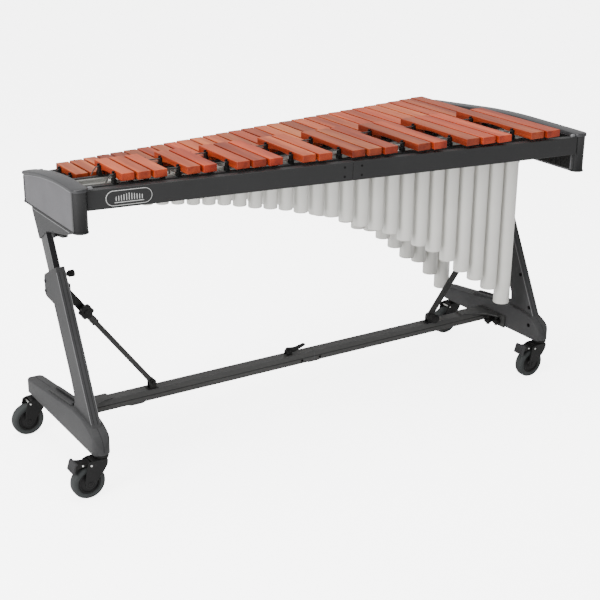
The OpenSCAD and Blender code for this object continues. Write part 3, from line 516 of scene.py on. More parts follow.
back_front = (BACK_RAIL[0] - RAIL_T, BACK_RAIL[1] - RAIL_T)
for name, ends, low in (("front_rail", FRONT_RAIL, FRONT_RAIL_LOW), ("back_rail", back_front, BACK_RAIL_LOW)):
    s = Shape()
    fanned(s, ends, RAIL_T, low, low + RAIL_H, -PANEL_IN_X, -0.5)
    fanned(s, ends, RAIL_T, low, low + RAIL_H, 0.5, PANEL_IN_X)
    s.piece(name, "keyboard", RAIL, "rail_black", [name], bevel=2.2)
FRONT_RAIL_MID, BACK_RAIL_MID = FRONT_RAIL_LOW + RAIL_H / 2, BACK_RAIL_LOW + RAIL_H / 2
back_angle = math.degrees(math.atan2(BACK_RAIL[1] - BACK_RAIL[0], 2 * PANEL_IN_X))
s = Shape()
for x in (-28, 28):
    for h in (-14, 14):
        s.screw(on_line(FRONT_RAIL, x, FRONT_RAIL_MID) @ move(0, h, -0.4), 3.2, 1.4)
        turned = turn("Z", back_angle + 180) @ turn("X", 90)
        place = move(x, line(BACK_RAIL, x), BACK_RAIL_MID + h) @ turned
        s.screw(place @ move(0, 0, -0.4), 3.6, 1.8)
s.piece("rail_screws", "keyboard", BOLT_AND_HOLE_SHADE, "bolt_black")

s = Shape()
for cords_of, top in ((NAT_CORDS, NATURAL_Z), (ACC_CORDS, ACCIDENTAL_Z)):
    for ends in cords_of:
        fanned(s, (ends[0] - 6, ends[1] - 6), 12, top - RAIL_DROP - 22, top - RAIL_DROP)
s.piece("inner_rails", "keyboard", RAIL, "rail_black", ["inner_rails"], bevel=1.4, steps=2)

END_BLOCK = [(1, 0), (15, 0), (15, 6), (12, 9), (4, 9), (1, 6)]
s = Shape()
for x0 in (-794, 778):
    for ends, z, shift in ((FRONT_RAIL, 871, 3), (BACK_RAIL, 839, -13)):
        y = line(ends, x0 + 8) + shift
        s.prism([(x0 + a, z + b) for a, b in END_BLOCK], "y", y + 1, y + 9)
s.piece("rail_end_blocks", "keyboard", TRIM_AND_HIGHLIGHT, "zinc", ["rail_end_blocks"], bevel=1.0, steps=2)


# ---- Resonators ------------------------------------------------------------------------
def tube_row(name, spots, ends, top):
    s = Shape()
    rivets = Shape()
    for x, length in spots:
        r = tube_r(x)
        y = line(ends, x)
        profile = [(r - 3.0, 0.6), (r - 1.0, 1.0), (r, 2.6), (r, length), (r - 1.3, length),
                   (r - 1.3, 5.0)]
        s.lathe(profile, move(x, y, top - length), 40)
        for side in (-1, 1):
            face = r + 2.6
            rivets.lathe([(3.1, 0), (2.6, 1.1), (1.2, 1.9)],
                         move(x, y + side * face, top - 12) @ ALONG["y" if side > 0 else "-y"], 14)
    s.piece(name, "keyboard", TUBE, "resonator_metal", [name], angle=35)
    rivets.piece(name + "_rivets", "keyboard", ZINC, "zinc")
    strip = Shape()
    for side in (-1, 1):
        near = tuple(e + side * (tube_r(x) + 0.2) for e, x in zip(ends, (-PANEL_IN_X, PANEL_IN_X)))
        web = near if side > 0 else tuple(e - 2.4 for e in near)
        fanned(strip, web, 2.4, top - 21, top - 3)
        lip = near if side > 0 else tuple(e - 13 for e in near)
        fanned(strip, lip, 13, top - 4, top - 1.6)
    strip.piece(name + "_hangers", "keyboard", TUBE_IN, "resonator_metal", bevel=0.7, steps=2)


front_spots = [(edge_x(i), tube_length((semis(i) + semis(i - 1)) / 2)) for i in range(2, NATURALS)]
back_spots = [(natural_x(i), tube_length(semis(i))) for i in range(NATURALS)]
tube_row("front_resonators", front_spots, ACC_TUBES, ACCIDENTAL_Z - BAR_T - TUBE_GAP)
tube_row("back_resonators", back_spots, NAT_TUBES, NATURAL_Z - BAR_T - TUBE_GAP)


# ---- End panels ------------------------------------------------------------------------
BEND = 130


def cap_z(end, y):
    """Height of the cap, which bends smoothly from its gentle rise into its fall."""
    rise = (CAP_MID - CAP_FRONT) / -POST_FRONT[end]
    fall = (CAP_MID - CAP_BACK) / POST_BACK[end]
    if y < -BEND:
        return CAP_MID + rise * y
    if y > BEND:
        return CAP_MID - fall * y
    return CAP_MID + rise * y - (rise + fall) * (y + BEND) ** 2 / (4 * BEND)


def cap_section(end, cx, y, grow):
    """One slice across the cap, narrowing round the posts at its ends."""
    r = PANEL_HALF + grow
    past = max(POST_FRONT[end] - y, y - POST_BACK[end], 0)
    w = max(0.6, math.sqrt(max(0, r * r - past * past)))
    top = cap_z(end, y)
    c = min(2.4, w / 2)
    profile = [(-w, top - CAP_T), (w, top - CAP_T), (w, top - c), (w - 0.3 * c, top - 0.3 * c),
               (w - c, top), (c - w, top), (0.3 * c - w, top - 0.3 * c), (-w, top - c)]
    return [(cx + x, y, z) for x, z in profile]


def under_cap(end, y0, y1, drop, steps=20):
    """Points along the underside of the cap from front to back."""
    line_of = [lerp(y0, y1, k / steps) for k in range(steps + 1)]
    return [(y, cap_z(end, y) - drop) for y in line_of]


caps, posts, lining, panel_screws, painted_highlight_lines = Shape(), Shape(), Shape(), Shape(), Shape()
for end, name in ((0, "left_end_panel"), (1, "right_end_panel")):
    cx = -PANEL_X if end == 0 else PANEL_X
    out = -1 if end == 0 else 1
    r = PANEL_HALF + 3
    stations = [POST_FRONT[end] - r * math.cos(math.radians(a)) for a in range(2, 90, 8)]
    stations += [lerp(POST_FRONT[end], POST_BACK[end], k / 30) for k in range(31)]
    stations += [POST_BACK[end] + r * math.sin(math.radians(a)) for a in range(8, 90, 8)]
    caps.rings([cap_section(end, cx, y, 3) for y in stations])
    y0, y1 = POST_FRONT[end] + 3, POST_BACK[end] - 3
    half = PANEL_HALF - 0.8
    s = Shape()
    s.prism([(y1, PANEL_LOW), (y0, PANEL_LOW)] + under_cap(end, y0, y1, CAP_T), "x", cx - half, cx + half)
    s.piece(name, "keyboard", PANEL, "panel_texture", [name], bevel=0.8, steps=2)
    # A dark lip along the bottom of the outer face, a dark strip under the cap, and a fine
    # light line below the strip that is a painted highlight
    face = cx + out * half
    trim = Shape()
    trim.box(sorted((face - out * 3, face + out * 1.6)), (y0, y1), (PANEL_LOW, PANEL_LOW + 4))
    dark = under_cap(end, y0, y1, CAP_T) + under_cap(end, y0, y1, CAP_T + 2.2)[::-1]
    trim.prism(dark, "x", *sorted((face - out * 3, face + out * 0.5)))
    trim.piece(name + "_trim", "keyboard", BLACK, "panel_edge", bevel=0.4, steps=2)
    highlight_band = under_cap(end, y0 + 2, y1, CAP_T + 2.2) + under_cap(end, y0 + 2, y1, CAP_T + 4.4)[::-1]
    painted_highlight_lines.prism(highlight_band, "x", *sorted((face - out * 2, face + out * 0.9)))
    inner = cx - out * half
    inside = [(y1 - 6, 761), (y0 + 6, 761)] + under_cap(end, y0 + 6, y1 - 6, CAP_T + 5)
    lining.prism(inside, "x", *sorted((inner + out * 1, inner - out * 0.8)))
    count = int((y1 - y0) / 24)
    for k in range(1, count):
        y = lerp(y0, y1, k / count)
        rib = rect(y - 1.2, y + 1.2, 763, cap_z(end, y) - 15)
        lining.prism(rib, "x", *sorted((inner, inner - out * 2.4)))
    for y in (POST_FRONT[end], POST_BACK[end]):
        high = min(cap_z(end, y - 20), cap_z(end, y + 20)) - CAP_T
        collar = [(20.6, 755), (23, 755.4), (23.4, 757), (22.8, 759.4), (20.8, 760.6), (20.6, 763)]
        posts.lathe(collar + [(20.6, high)], move(cx, y, 0), 48)
        posts.disc(20.6, high - 2, high + 5, move(cx, y, 0), 48, 0.3)
        # Upright ribs where the post meets the panel
        tip = -1 if y < 0 else 1
        for x in (cx - PANEL_HALF + 1.2, cx + PANEL_HALF - 1.2):
            posts.box((x - 1.4, x + 1.4), sorted((y - tip * 3, y + tip * 5)), (757, high - 1))
    for y in (lerp(y0, y1, 0.2), lerp(y0, y1, 0.8)):
        panel_screws.screw(move(cx, y, PANEL_LOW) @ ALONG["-z"], 4, 2)
caps.piece("end_caps", "keyboard", EDGE, "panel_edge", ["end_caps"], angle=55)
posts.piece("corner_posts", "keyboard", RAIL, "panel_edge", ["corner_posts"])
lining.piece("panel_linings", "keyboard", PANEL_IN, "panel_texture", bevel=0.5, steps=1)
painted_highlight_lines.piece("panel_lines", "keyboard", TRIM_AND_HIGHLIGHT, "panel_edge")
panel_screws.piece("panel_screws", "keyboard", BOLT_AND_HOLE_SHADE, "bolt_black")

# ---- Badge -----------------------------------------------------------------------------
badge_place = on_line(FRONT_RAIL, -682, FRONT_RAIL_MID)
for name, r, low, high, look, nodes in (("name_badge", 21.5, 0, 1.5, BADGE, ["name_badge"]),
                                        ("name_badge_field", 19.9, 1.1, 1.9, RAIL, [])):
    s = Shape()
    s.prism(arc(44.5, 0, r, -90, 90, 20) + arc(-44.5, 0, r, 90, 270, 20), "z", low, high, badge_place)
    s.piece(name, "keyboard", look, "badge", nodes, bevel=0.4, steps=2)
# A plain device of graduated strokes over a base line
s = Shape()
for k in range(-5, 6):
    h = 20 - 1.5 * abs(k)
    s.box((7.4 * k - 1.1, 7.4 * k + 1.1), (-8, h - 8), (1.7, 2.3), badge_place)
s.box((-42, 42), (-13.4, -11.4), (1.7, 2.3), badge_place)
s.piece("name_badge_mark", "keyboard", BADGE, "badge", bevel=0.2, steps=1)

# ---- Legs ------------------------------------------------------------------------------
LEAN = 0.5
LOCK_Y, LOCK_Z = -22, 713


def leg_y(z):
    """The front face of a lower leg."""
    return -225.6 + LEAN * (z - 206.1)


def sides():
    for side, name in ((-1, "left"), (1, "right")):
        yield side, name, side * FOOT_X


def leaning_bar(s, cx, outline, z0, z1, y_of):
    """Carries a level cross-section (x, depth) up a leaning line."""
    s.rings([[(cx + a, y_of(z) + b, z) for a, b in outline] for z in (z0, z1)])


def rounded(w, d0, d1, r, steps=4):
    """Level cross-section of a tube w wide between two depths."""
    h = w / 2
    outline = arc(h - r, d1 - r * 1.1, r, 0, 90, steps) + arc(-h + r, d1 - r * 1.1, r, 90, 180, steps)
    return outline + arc(-h + r, d0 + r, r, 180, 270, steps) + arc(h - r, d0 + r, r, 270, 360, steps)


bolts = Shape()
for side, name, cx in sides():
    inner = "x" if side < 0 else "-x"
    outer = "-x" if side < 0 else "x"
    s = Shape()
    back = [(126, 209), (118, 216), (104, 232), (93, 258), (88.5, 300), (88.5, 494)]
    outline = [(leg_y(193), 193), (-160, 193)] + [(leg_y(z) + depth, z) for depth, z in back]
    outline += [(58, 499), (68, 503), (72.5, 511), (73, 559), (69, 568), (-12, 609), (-22, 614)]
    s.prism(outline + [(leg_y(611), 611)], "x", cx - 14.5, cx + 14.5)
    s.piece(name + "_lower_leg", "stand", CASTING, "stand_casting", [name + "_lower_leg"], bevel=3.2, steps=4)
    # Painted shade: two dark strips on the front face stand in for the grooves
    s = Shape()
    for groove in (-5.5, 5.5):
        leaning_bar(s, cx + groove, rect(-0.8, 0.8, -0.15, 1.2), 203, 600, leg_y)
    s.piece(name + "_leg_grooves", "stand", CASTING_DARK_AND_SHADE, "stand_casting")
    # Painted highlights: a thin light rod along each front edge of the lower leg
    s = Shape()
    for a in (-13.6, 13.6):
        s.sweep([(cx + a, leg_y(z) + 0.75, z) for z in (205, 600)], 0.9, 8)
    s.piece(name + "_leg_edges", "stand", TRIM_AND_HIGHLIGHT, "stand_casting")
    for z in (517, 548):
        bolts.hex_bolt(move(cx - side * 2, 73, z) @ ALONG["y"], 6.2, 6)
        bolts.disc(5.2, 0, 2.0, move(cx + side * 14.2, 65, z) @ ALONG[outer], 20, 0.4)
    for y, z in ((-205, 230), (-150, 335)):
        bolts.hex_bolt(move(cx - side * 14.3, y, z) @ ALONG[inner], 5, 3.2)
    # Sliding tube
    s = Shape()
    leaning_bar(s, cx, rounded(20, -28, 28, 2), 350, 752, lambda z: leg_y(z) + 54.5)
    s.piece(name + "_upper_leg", "keyboard", TUBE_LEG_AND_HIGHLIGHT, "stand_casting", [name + "_upper_leg"])
    # Painted highlights: a thin light rod along each front edge of the sliding tube
    s = Shape()
    for a in (-9.4, 9.4):
        s.sweep([(cx + a, leg_y(z) + 27.2, z) for z in (560, 745)], 0.7, 8)
    s.piece(name + "_tube_edges", "keyboard", TRIM_AND_HIGHLIGHT, "stand_casting")
    # Painted shade: a darker sheet over the front face of the sliding tube
    s = Shape()
    leaning_bar(s, cx, rect(-8.4, 8.4, 26.2, 27.4), 560, 745, leg_y)
    s.piece(name + "_tube_face", "keyboard", CASTING_DARK_AND_SHADE, "stand_casting")
    # Wedge bracket with its sleeve and ears
    s = Shape()
    wedge = [(-150, PANEL_LOW), (-150, 748), (-112, 734), (28, 708), (89, 668), (134, 746), (134, PANEL_LOW)]
    s.prism(wedge, "x", cx - 15, cx + 15)
    s.piece(name + "_leg_bracket", "keyboard", CASTING, "stand_casting", [name + "_leg_bracket"], bevel=2.6)
    s = Shape()
    for x in (cx - 15.2, cx + 9.2):
        s.disc(10.5, 0, 6, move(x, LOCK_Y, LOCK_Z) @ ALONG["x"], 32, 1.2)
    s.piece(name + "_bracket_ears", "keyboard", CASTING_DARK_AND_SHADE, "stand_casting", bevel=0.4, steps=2)
    # Painted highlight: a light strip along the top edge of the bracket
    s = Shape()
    s.box((cx - 15.3, cx + 15.3), (-146, 130), (750.2, 752.2))
    s.piece(name + "_bracket_line", "keyboard", TRIM_AND_HIGHLIGHT, "stand_casting")
    # Lock lever
    s = Shape()
    s.disc(9, -8, 8, move(cx, LOCK_Y, LOCK_Z) @ ALONG["x"], 32, 1)
    s.disc(3.4, -16.5, 16.5, move(cx, LOCK_Y, LOCK_Z) @ ALONG["x"], 20, 0.8)
    grip = [(0, -6), (-50, -8), (-60, -5), (-61, -1), (-56, 1), (0, 1)]
    s.prism(grip, "x", -7, 7, move(cx, LOCK_Y, LOCK_Z) @ turn("X", -10.3))
    s.piece(name + "_lock_lever", name + "_panel_lock", BLACK, "knob_black", [name + "_lock_lever"],
            bevel=1.2)
    # Height knob
    s = Shape()
    place = move(cx - side * 14, -6, 583) @ ALONG[inner]
    profile = [(7, 0.4), (7, 2), (5, 3.2), (5, 12), (7, 13.5), (10.2, 30), (10.4, 32), (9.4, 33.2), (5, 33.6)]
    s.lathe(profile, place, 32)
    s.disc(4, -3, 2, place, 20, 0.5)
    for k in range(8):
        s.box((-1.3, 1.3), (7, 10.6), (17, 31), place @ turn("Z", 45 * k))
    s.piece(name + "_height_knob", name + "_height_clamp", BLACK, "knob_black", [name + "_height_knob"],
            bevel=0.6, steps=2)


# ---- Feet ------------------------------------------------------------------------------
def foot_top(y):
    """Height of the foot's top, with a long curve down at the nose and a small one at the heel."""
    if y < -150:
        return 140 + 72 * math.sqrt(max(0.0, 1 - ((y + 150) / 127) ** 2))
    if y < -112:
        return lerp(212, 213, (y + 150) / 38)
    top = lerp(213, 169, (y + 112) / 377)
    if y > 253:
        top -= 12 - math.sqrt(max(0.0, 144 - (y - 253) ** 2))
    return top


def foot_section(cx, y):
    """Half width and height change along the foot; a fine seam runs down the middle of the top."""
    h = 27.0
    if y < -249:
        h = math.sqrt(max(0.2, 27 ** 2 - (y + 249) ** 2))
    if y > 238:
        h = math.sqrt(max(0.2, 27 ** 2 - (y - 238) ** 2))
    top = foot_top(y)
    low = 125 + (1.5 if abs(y + 5) > 262 else 0)
    r = min(6.0, h * 0.6)
    notch = min(0.7, h * 0.2)
    outline = arc(h - r, top - r, r, 0, 80, 4)
    outline += [(notch, top), (0, top - 1.6), (-notch, top)]
    outline += arc(-h + r, top - r, r, 100, 180, 4)
    outline += [(-h, low + 2), (-h + min(2, h / 2), low), (h - min(2, h / 2), low), (h, low + 2)]
    return [(cx + a, y, z) for a, z in outline]


for side, name, cx in sides():
    s = Shape()
    stations = [-249 - 27 * math.cos(math.radians(a)) for a in range(2, 90, 8)]
    stations += [-242, -232, -220, -205, -190, -175, -162, -150, -112, -60, 0, 60, 120, 180, 225, 238]
    stations += [238 + 27 * math.sin(math.radians(a)) for a in range(8, 90, 9)]
    s.rings([foot_section(cx, y) for y in stations])
    s.piece(name + "_foot", "stand", CASTING, "stand_casting", [name + "_foot"], angle=32)
    s = Shape()
    nose = [(y, foot_top(y)) for y in (-222, -234, -244, -254, -263, -270, -274, -275.6)]
    nose += [(-276, 149), (-276, 140), (-275.5, 128)]
    outline = [(y - 0.25, z + 0.15) for y, z in nose] + [(y + 2, z - 2) for y, z in reversed(nose)]
    s.prism(outline, "x", cx - 0.55, cx + 0.55)
    s.piece(name + "_foot_seam", "stand", CASTING_DARK_AND_SHADE, "stand_casting")
    s = Shape()
    slope = math.degrees(math.atan2(-44, 377))
    pad = arc(0, 34, 5.5, 0, 180, 8) + arc(0, -138, 5.5, 180, 360, 8)
    for a in (-12, 12):
        s.prism([(x + a, y) for x, y in pad], "z", -2, 8, move(cx, 52, foot_top(52)) @ turn("X", slope))
    s.piece(name + "_foot_pads", "stand", GRIP, "stand_casting", bevel=1.2, steps=3)
    inner = "x" if side < 0 else "-x"
    bolts.hex_bolt(move(cx - side * 26.8, -222, 172) @ ALONG[inner], 5, 3)
    # Gusset between the beam and the foot
    s = Shape()
    x0, front = FOOT_IN - 123, -86
    curve = arc(x0, -110, 102, 90, 13.6, 16)
    plate = [(x0 + 8, 33)] + curve + [(FOOT_IN - 1, front), (FOOT_IN - 1, 33)]
    s.prism([(side * a, b) for a, b in plate], "z", 160.2, 165.8)
    lip = [(FOOT_IN - 8, -104), (FOOT_IN - 0.5, -104), (FOOT_IN - 0.5, -62), (FOOT_IN - 8, -62)]
    s.prism([(side * a, b) for a, b in lip], "z", 123, 165.8)
    s.piece(name + "_beam_bracket", "stand", BEAM, "stand_casting", [name + "_beam_bracket"],
            bevel=1.3, steps=2)
    # Painted highlight: a light rod along the curved top edge of the gusset
    s = Shape()
    s.sweep([(side * a, b - 0.4, 165.4) for a, b in curve], 1.0, 8)
    s.piece(name + "_gusset_edge", "stand", TUBE_LEG_AND_HIGHLIGHT, "stand_casting")
    clamp = Shape()
    clamp.lathe([(13, 0), (15, 2), (15, 10), (12, 12)], move(side * 762, -52, 136), 8)
    clamp.disc(7, 0, 34, move(side * 762, -52, 128), 24)
    clamp.lathe([(11, 0), (14, 2), (14, 12), (11, 14)], move(side * 775, -80, 138), 8)
    clamp.disc(6, 0, 30, move(side * 775, -80, 130), 24)
    clamp.box((side * 775 - 18, side * 775 + 18), (-60, -30), (146, 160))
    clamp.piece(name + "_beam_clamp", "stand", BLACK, "knob_black", bevel=1.0, steps=2)

# ---- Beam ------------------------------------------------------------------------------
LEVER_AT = (-40, 13, 174)
BEAM_SECTION = [(-6, 125), (-8, 127), (-8, 140.8), (-6.6, 141.4), (-6.6, 143.6), (-8, 144.2), (-8, 158),
                (-6, 160), (31.7, 160), (33.7, 158), (33.7, 127), (31.7, 125)]
for name, a, b in (("beam_left", -797.5, 49.6), ("beam_right", 50.4, 797.5)):
    s = Shape()
    s.prism(BEAM_SECTION, "x", a, b)
    s.piece(name, "stand", BEAM, "beam_paint", [name])
s = Shape()
for x in (-595, 595):
    s.prism([(x - 34, 126), (x - 24, 121), (x - 18, 119.4), (x + 18, 119.4), (x + 24, 121), (x + 34, 126)],
            "y", -4, 30)
s.box((28, 72), (-6, 32), (122.5, 126))
s.piece("beam_bumps", "stand", BEAM, "beam_paint", bevel=1.5)
for x in (2, 72):
    bolts.screw(move(x, -8, 136) @ ALONG["-y"], 4, 2)
    bolts.hex_bolt(move(x, 33.7, 136) @ ALONG["y"], 6, 4.4)
bolts.piece("stand_bolts", "stand", BOLT_AND_HOLE_SHADE, "bolt_black", ["stand_bolts"])

# Painted highlights: a light rod along the beam's top front edge and a light strip over the joint of its
# halves
beam_highlight_rods = Shape()
for a, b in ((-790, 49), (51, 790)):
    beam_highlight_rods.sweep([(a, -7.2, 159.2), (b, -7.2, 159.2)], 0.7, 8)
beam_highlight_rods.box((49.2, 50.8), (-8.3, -7), (127, 158))
beam_highlight_rods.piece("beam_edges", "stand", TUBE_LEG_AND_HIGHLIGHT, "beam_paint")

# Cam lever over the joint of the beam
s = Shape()
s.disc(10, -6, 6, move(*LEVER_AT) @ ALONG["y"], 32, 1)
lever = [(-36, 165.5), (-16, 166.5), (20, 179), (25, 182.5), (24, 186.5), (18, 187), (-14, 180.5), (-36, 183)]
s.prism(lever, "y", 7.5, 18.5)
s.piece("cam_lever", "beam_lever", BLACK, "knob_black", ["cam_lever"], bevel=1.6)

# ---- Braces ----------------------------------------------------------------------------
CLEVIS_X, PIVOT_Z, BRACE_Y = 539, 182, 6
RUN, RISE = 811 - CLEVIS_X, 540 - PIVOT_Z
BRACE = math.hypot(RUN, RISE)
RAKE = math.degrees(math.atan2(RISE, RUN))
KNOB_AT = 0.78 * BRACE


def on_brace(side):
    """Local X runs from the clevis on the beam up to the lug on the leg."""
    flip = Matrix.Scale(-1, 4, (1, 0, 0)) if side < 0 else Matrix.Identity(4)
    return move(side * CLEVIS_X, BRACE_Y, PIVOT_Z) @ flip @ turn("Y", -RAKE)


left, right = on_brace(-1), on_brace(1)
s = Shape()
arm_end = BRACE - 12
s.prism(arc(KNOB_AT - 3, 0, 12, 90, 270, 10) + [(arm_end, -12), (arm_end, 12)], "y", -13.5, -8, left)
s.piece("left_brace_arm", "stand", BLACK, "beam_paint", ["left_brace_arm"], bevel=1)
s = Shape()
rod = left @ ALONG["x"]
s.lathe([(6.5, 23), (8, 25), (8, KNOB_AT + 26), (6.5, KNOB_AT + 28)], rod, 32)
s.lathe([(8.6, KNOB_AT - 62), (10.6, KNOB_AT - 60), (10.6, KNOB_AT - 22), (8.6, KNOB_AT - 20)], rod, 32)
for h in (KNOB_AT - 62, KNOB_AT - 50):
    s.hoop([(10, h), (11.6, h + 0.5), (11.6, h + 3), (10, h + 3.5)], rod, 32)
s.prism(arc(0, 0, 8, 90, 270, 10) + [(27, -8), (27, 8)], "y", -5, 5, left)
s.piece("left_brace_tube", "stand", BEAM, "stand_casting", ["left_brace_tube"], bevel=0.6, steps=2)
s = Shape()
star = []
for k in range(72):
    a = 2 * math.pi * k / 72
    r = 20.4 + 2.0 * math.cos(6 * a)
    star.append((r * math.cos(a), r * math.sin(a)))
knob = left @ move(KNOB_AT)
s.prism(star, "y", -31, -15, knob)
s.disc(9, 13.5, 33, knob @ ALONG["-y"], 24, 1.5)
s.disc(4, -12, 14, knob @ ALONG["-y"], 20, 0.5)
s.piece("brace_knob", "brace_clamp", BLACK, "knob_black", ["brace_knob"], bevel=1.8)
s = Shape()
s.prism(rect(0, arm_end, -12.5, 12.5) + arc(0, 0, 12.5, 100, 260, 10), "y", -3, 3, right)
s.piece("right_brace_bar", "stand", BEAM, "beam_paint", ["right_brace_bar"], bevel=1)
s = Shape()
place = right @ ALONG["-y"]
s.lathe([(12, 15.2), (14.5, 17), (14.5, 39), (12, 41)], place, 32)
for k in range(12):
    a = 2 * math.pi * k / 12
    s.disc(2.4, 17.5, 38.5, place @ move(14 * math.cos(a), 14 * math.sin(a), 0), 12)
s.piece("brace_pivot_knob", "brace_pivot", BLACK, "knob_black", ["brace_pivot_knob"])
s = Shape()
for side in (-1, 1):
    x = side * CLEVIS_X
    for y in (BRACE_Y - 11, BRACE_Y + 6):
        s.prism(rect(x - 11, x + 11, 160, 180)[:2] + arc(x, PIVOT_Z, 11, 0, 180, 12), "y", y, y + 5)
    s.box((x - 17, x + 17), (BRACE_Y - 13, BRACE_Y + 13), (159.6, 163))
    s.disc(4, -15 if side < 0 else -20.5, 15, move(x, BRACE_Y, PIVOT_Z) @ ALONG["y"], 20)
    for y in (BRACE_Y - 8, BRACE_Y + 3):
        a, b = sorted((side * 788, side * 811.5))
        s.prism(rect(a, b, 522, 550), "y", y, y + 5)
    s.disc(4, -12, 12, move(side * 799, BRACE_Y, 534) @ ALONG["y"], 20)
for y in (4, 20):
    s.prism(rect(-51, -29, 160, 170)[:2] + arc(-40, 170, 10, 0, 180, 10), "y", y, y + 2)
s.disc(4, -12.5, 12.5, move(*LEVER_AT) @ ALONG["y"], 20)
s.piece("pivot_brackets", "stand", BLACK, "beam_paint", ["pivot_brackets"], bevel=0.9, steps=2)


# ---- Casters ---------------------------------------------------------------------------
TRAIL, WHEEL_R = 45, 50
BRAKE_BACK, BRAKE_Z = 40, 107
FRONT_STEM_Y, BACK_STEM_Y = -254, 215


def caster(name, x, y, pedal):
    """A swivel caster under a stem at (x, y), its wheel trailing towards -X."""
    at = move(x, y, 0)
    axle = move(x - TRAIL, y, WHEEL_R) @ ALONG["y"]
    s = Shape()
    arm = arc(-TRAIL, WHEEL_R, 14.5, 180, 315, 14)
    arm += [(-22, 61), (-3, 80), (8, 97), (11.5, 112), (9, 118), (-36, 118), (-50, 113), (-53, 100),
            (-56, 84), (-59, 66)]
    for a in (-23.5, 19):
        s.prism(arm, "y", a, a + 4.5, at)
    hood = [(-36, 118), (6, 118), (11, 112), (10, 101), (2, 88), (-2, 91), (5, 103), (4, 108), (-1, 111),
            (-36, 111)]
    s.prism(hood, "y", -23, 23, at)
    s.disc(20, 112.5, 118.7, at, 40, 1.5)
    s.disc(7, -25.4, 25.4, axle, 24, 1.2)
    s.piece(name + "_fork", name + "_caster", BLACK, "beam_paint", [name + "_fork"], bevel=1.6, steps=3)
    pins = Shape()
    pins.disc(3.2, -25.6, 25.6, move(x - BRAKE_BACK, y, BRAKE_Z) @ ALONG["y"], 20, 1.2)
    pins.disc(6, 117, 146, at, 24, 1)
    pins.piece(name + "_pins", name + "_caster", ZINC, "zinc")
    s = Shape()
    tread = [(33.1, 14), (35, 15.6), (43, 16), (47.5, 13.5), (49.6, 9), (WHEEL_R, 4)]
    s.hoop([(r, -h) for r, h in tread] + tread[::-1], axle, 72)
    s.piece(name + "_tyre", name + "_wheel", RUBBER, "tyre", [name + "_tyre"], angle=50)
    s = Shape()
    rim = [(5.1, 16), (12, 16), (14, 13), (24, 10.5), (27, 11), (28.5, 14), (31.5, 14.6), (33, 13)]
    s.hoop([(r, -h) for r, h in rim] + rim[::-1], axle, 56)
    s.piece(name + "_hub", name + "_wheel", HUB, "wheel_hub", [name + "_hub"], angle=35)
    if pedal:
        s = Shape()
        s.disc(6, -18, 18, move(x - BRAKE_BACK, y, BRAKE_Z) @ ALONG["y"], 24)
        body = [(-40, 102), (-66, 105), (-80, 101), (-90, 98), (-87, 112), (-79, 119), (-68, 116), (-40, 112)]
        s.prism(body, "y", -17, 17, at)
        s.piece(name + "_brake", name + "_pedal", BLACK, "beam_paint", [name + "_brake"], bevel=1.4)
        s = Shape()
        plate = [(-90, 91.5), (-93.5, 90.5), (-97, 94), (-89, 120), (-85, 123.4), (-80, 122), (-80.5, 118),
                 (-85, 115)]
        s.prism(plate, "y", -22, 22, at)
        for k in range(6):
            t = 0.1 + 0.16 * k
            spot = at @ move(lerp(-96.7, -89, t), 0, lerp(95, 119, t)) @ turn("Y", -17)
            s.box((-1, 1), (-20, 20), (-0.9, 0.9), spot)
        s.piece(name + "_brake_plate", name + "_pedal", GRIP, "beam_paint", bevel=1.2)
        s = Shape()
        s.disc(3, -18.5, 18.5, move(x - 63, y, 110) @ ALONG["y"], 20, 1.2)
        s.piece(name + "_brake_pin", name + "_pedal", ZINC, "zinc")


for side, name, cx in sides():
    caster("front_" + name, cx, FRONT_STEM_Y, True)
    caster("back_" + name, cx, BACK_STEM_Y, False)
s = Shape()
for side, name, cx in sides():
    for y in (FRONT_STEM_Y, BACK_STEM_Y):
        s.lathe([(21, 119.2), (21.8, 120), (21.8, 124), (20, 125.5)], move(cx, y, 0), 40)
s.piece("caster_sockets", "stand", BLACK, "knob_black", ["caster_sockets"])

# These two stay as they are in the part and only get a look
for name, look in (("beam_coupler", ZINC), ("resonator_caps", TUBE_IN)):
    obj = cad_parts[name]
    obj.data.materials.clear()
    obj.data.materials.append(look)

# ---- Studio ----------------------------------------------------------------------------
m, t, p = start("floor")
where = t.nodes.new("ShaderNodeTexCoord").outputs["Object"]
t.links.new(ramp(t, noise(t, where, 1.5, 3.0), [(0.3, (0.93, 0.93, 0.93)), (0.7, (0.95, 0.95, 0.945))]),
            p.inputs["Base Color"])
p.inputs["Roughness"].default_value = 0.7
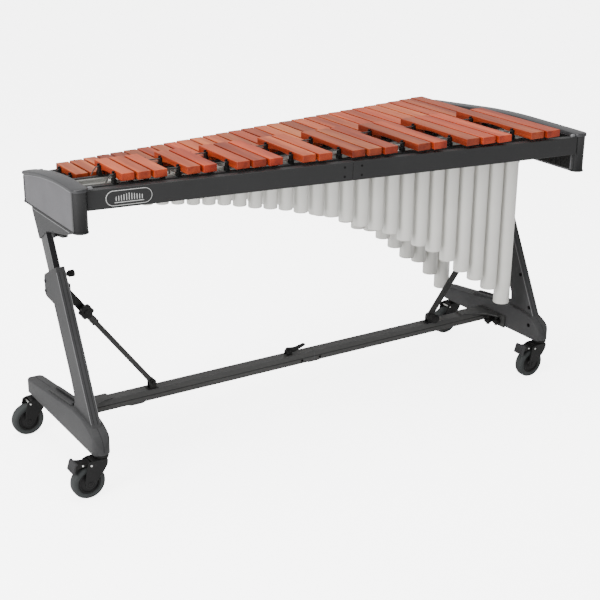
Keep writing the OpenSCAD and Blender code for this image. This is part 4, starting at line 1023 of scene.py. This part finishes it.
# The backdrop glows a little for the camera only, so the object's own light stays soft
path = t.nodes.new("ShaderNodeLightPath")
glow = node(t, "ShaderNodeMath", operation="MULTIPLY")
glow.inputs[1].default_value = 5.0
t.links.new(path.outputs["Is Camera Ray"], glow.inputs[0])
p.inputs["Emission Color"].default_value = (1, 1, 1, 1)
t.links.new(glow.outputs[0], p.inputs["Emission Strength"])
data = bpy.data.meshes.new("floor")
reach = 60
data.from_pydata([(x, y, 0) for x, y in rect(-reach, reach, -reach, reach)], [], [(0, 1, 2, 3)])
data.materials.append(m)
floor = bpy.data.objects.new("floor", data)
bpy.context.scene.collection.objects.link(floor)
floor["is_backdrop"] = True

world = bpy.data.worlds.new("studio")
bpy.context.scene.world = world
world.use_nodes = True
world.node_tree.nodes["Background"].inputs[0].default_value = (1.0, 1.0, 1.0, 1)
world.node_tree.nodes["Background"].inputs[1].default_value = 0.8


def lamp(name, where, aim, size, power):
    data = bpy.data.lights.new(name, "AREA")
    data.shape = "RECTANGLE"
    data.size, data.size_y = size
    data.energy = power
    obj = bpy.data.objects.new(name, data)
    obj.location = where
    obj.rotation_mode = "QUATERNION"
    obj.rotation_quaternion = (Vector(aim) - Vector(where)).to_track_quat("-Z", "Y")
    bpy.context.scene.collection.objects.link(obj)
    obj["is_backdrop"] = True


lamp("key", (-4.6, -1.6, 2.4), (0, 0, 0.6), (2.2, 2.2), 250)
lamp("top", (-0.6, 0.2, 4.5), (0, 0, 0.6), (3.5, 2.5), 190)

camera_data = bpy.data.cameras.new("camera")
camera_data.lens = 75.55
camera_data.sensor_width = 36
camera = bpy.data.objects.new("camera", camera_data)
camera.location = Vector((-2.0572, -3.2348, 1.7872)) + SHIFT
heading, drop, roll = math.radians(32.41), math.radians(20.58), math.radians(0.58)
look = Vector((math.sin(heading) * math.cos(drop), math.cos(heading) * math.cos(drop), -math.sin(drop)))
camera.rotation_mode = "QUATERNION"
camera.rotation_quaternion = look.to_track_quat("-Z", "Y") @ Matrix.Rotation(roll, 3, "Z").to_quaternion()
bpy.context.scene.collection.objects.link(camera)
bpy.context.scene.camera = camera

low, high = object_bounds()
